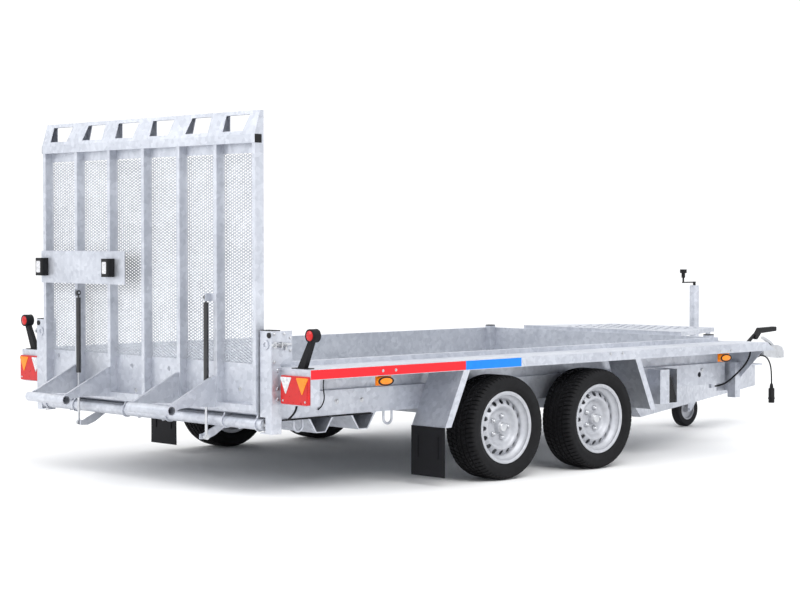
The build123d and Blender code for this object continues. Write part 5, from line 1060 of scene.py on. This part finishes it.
LEAD_POINTS = (
    (LEAD_X, LEAD_Y, LEAD_Z),
    (LEAD_X + 0.070, LEAD_Y, LEAD_Z),
    (LEAD_X + 0.145, LEAD_Y - 0.003, LEAD_Z - 0.010),
    (PLUG_X - 0.012, PLUG_Y + 0.002, LEAD_Z - 0.060),
    (PLUG_X, PLUG_Y, PLUG_TOP + 0.065),
    (PLUG_X, PLUG_Y, PLUG_TOP),
)
CORD_DIAMETER = 0.010


def nurbs_cord(name, points):
    """A curve of one open NURBS spline of order 3 with these control points, and a round bevel."""
    curve = bpy.data.curves.new(name, "CURVE")
    curve.dimensions = "3D"
    spline = curve.splines.new("NURBS")
    spline.points.add(len(points) - 1)
    for control, place in zip(spline.points, points):
        control.co = (*place, 1.0)
    spline.order_u = 3
    spline.use_endpoint_u = True
    spline.resolution_u = 12
    curve.bevel_depth = CORD_DIAMETER / 2
    curve.bevel_resolution = 5
    curve.use_fill_caps = True
    curve.materials.append(finishes["black_rubber"])
    piece = bpy.data.objects.new(name, curve)
    bpy.context.scene.collection.objects.link(piece)
    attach(piece, "chassis")
    return piece


held_cable = nurbs_cord("held_cable", CABLE_POINTS)
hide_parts("wiring_cable")
lead = nurbs_cord("socket_lead", LEAD_POINTS)
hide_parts("lead")

# %% The plug and the strain relief
PLUG_LENGTH = 0.130
RIDGE = 0.0005
PLUG_RIDGES = 29
RELIEF_RIDGES = 31
RELIEF_LENGTH = 0.040
plug_rows = [(0.0, 0.0), (0.0195, 0.0), (0.0205, 0.0015), (0.0205, 0.025)]
plug_rows += [(0.0238, 0.0265), (0.0238, 0.0335), (0.0212, 0.0350)]
ridge_radii = 0.0206 + RIDGE * np.cos(np.arange(PLUG_RIDGES) * pi)
plug_rows += list(zip(ridge_radii, np.linspace(0.038, 0.094, PLUG_RIDGES)))
plug_rows += [(0.0190, 0.0965), (0.0130, 0.1000), (0.0120, 0.1120), (0.0100, 0.1250), (0.0075, 0.1290)]
plug_rows += [(0.0, PLUG_LENGTH)]
plug_shape = placed(turned(plug_rows, 40), (PLUG_X, PLUG_Y, PLUG_TOP - PLUG_LENGTH), UPWARDS, up=LEFTWARDS)
plug = add_piece("ribbed_plug", plug_shape, "chassis", "black_plastic", None, 40.0, ("lead_plug",))
relief_along = np.linspace(0.003, RELIEF_LENGTH, RELIEF_RIDGES)
relief_taper = 0.0088 - 0.0030 * relief_along / RELIEF_LENGTH
relief_radii = relief_taper + RIDGE * np.cos(np.arange(RELIEF_RIDGES) * pi)
relief_rows = [(0.0, 0.0), (0.0090, 0.0), (0.0092, 0.0020)]
relief_rows += list(zip(relief_radii, relief_along))
relief_rows += [(0.0, RELIEF_LENGTH + 0.0005)]
relief = placed(turned(relief_rows, 24), (LEAD_X, LEAD_Y, LEAD_Z), FORWARDS)
strain_relief = add_piece("strain_relief", relief, "chassis", "black_rubber", smooth=40.0)
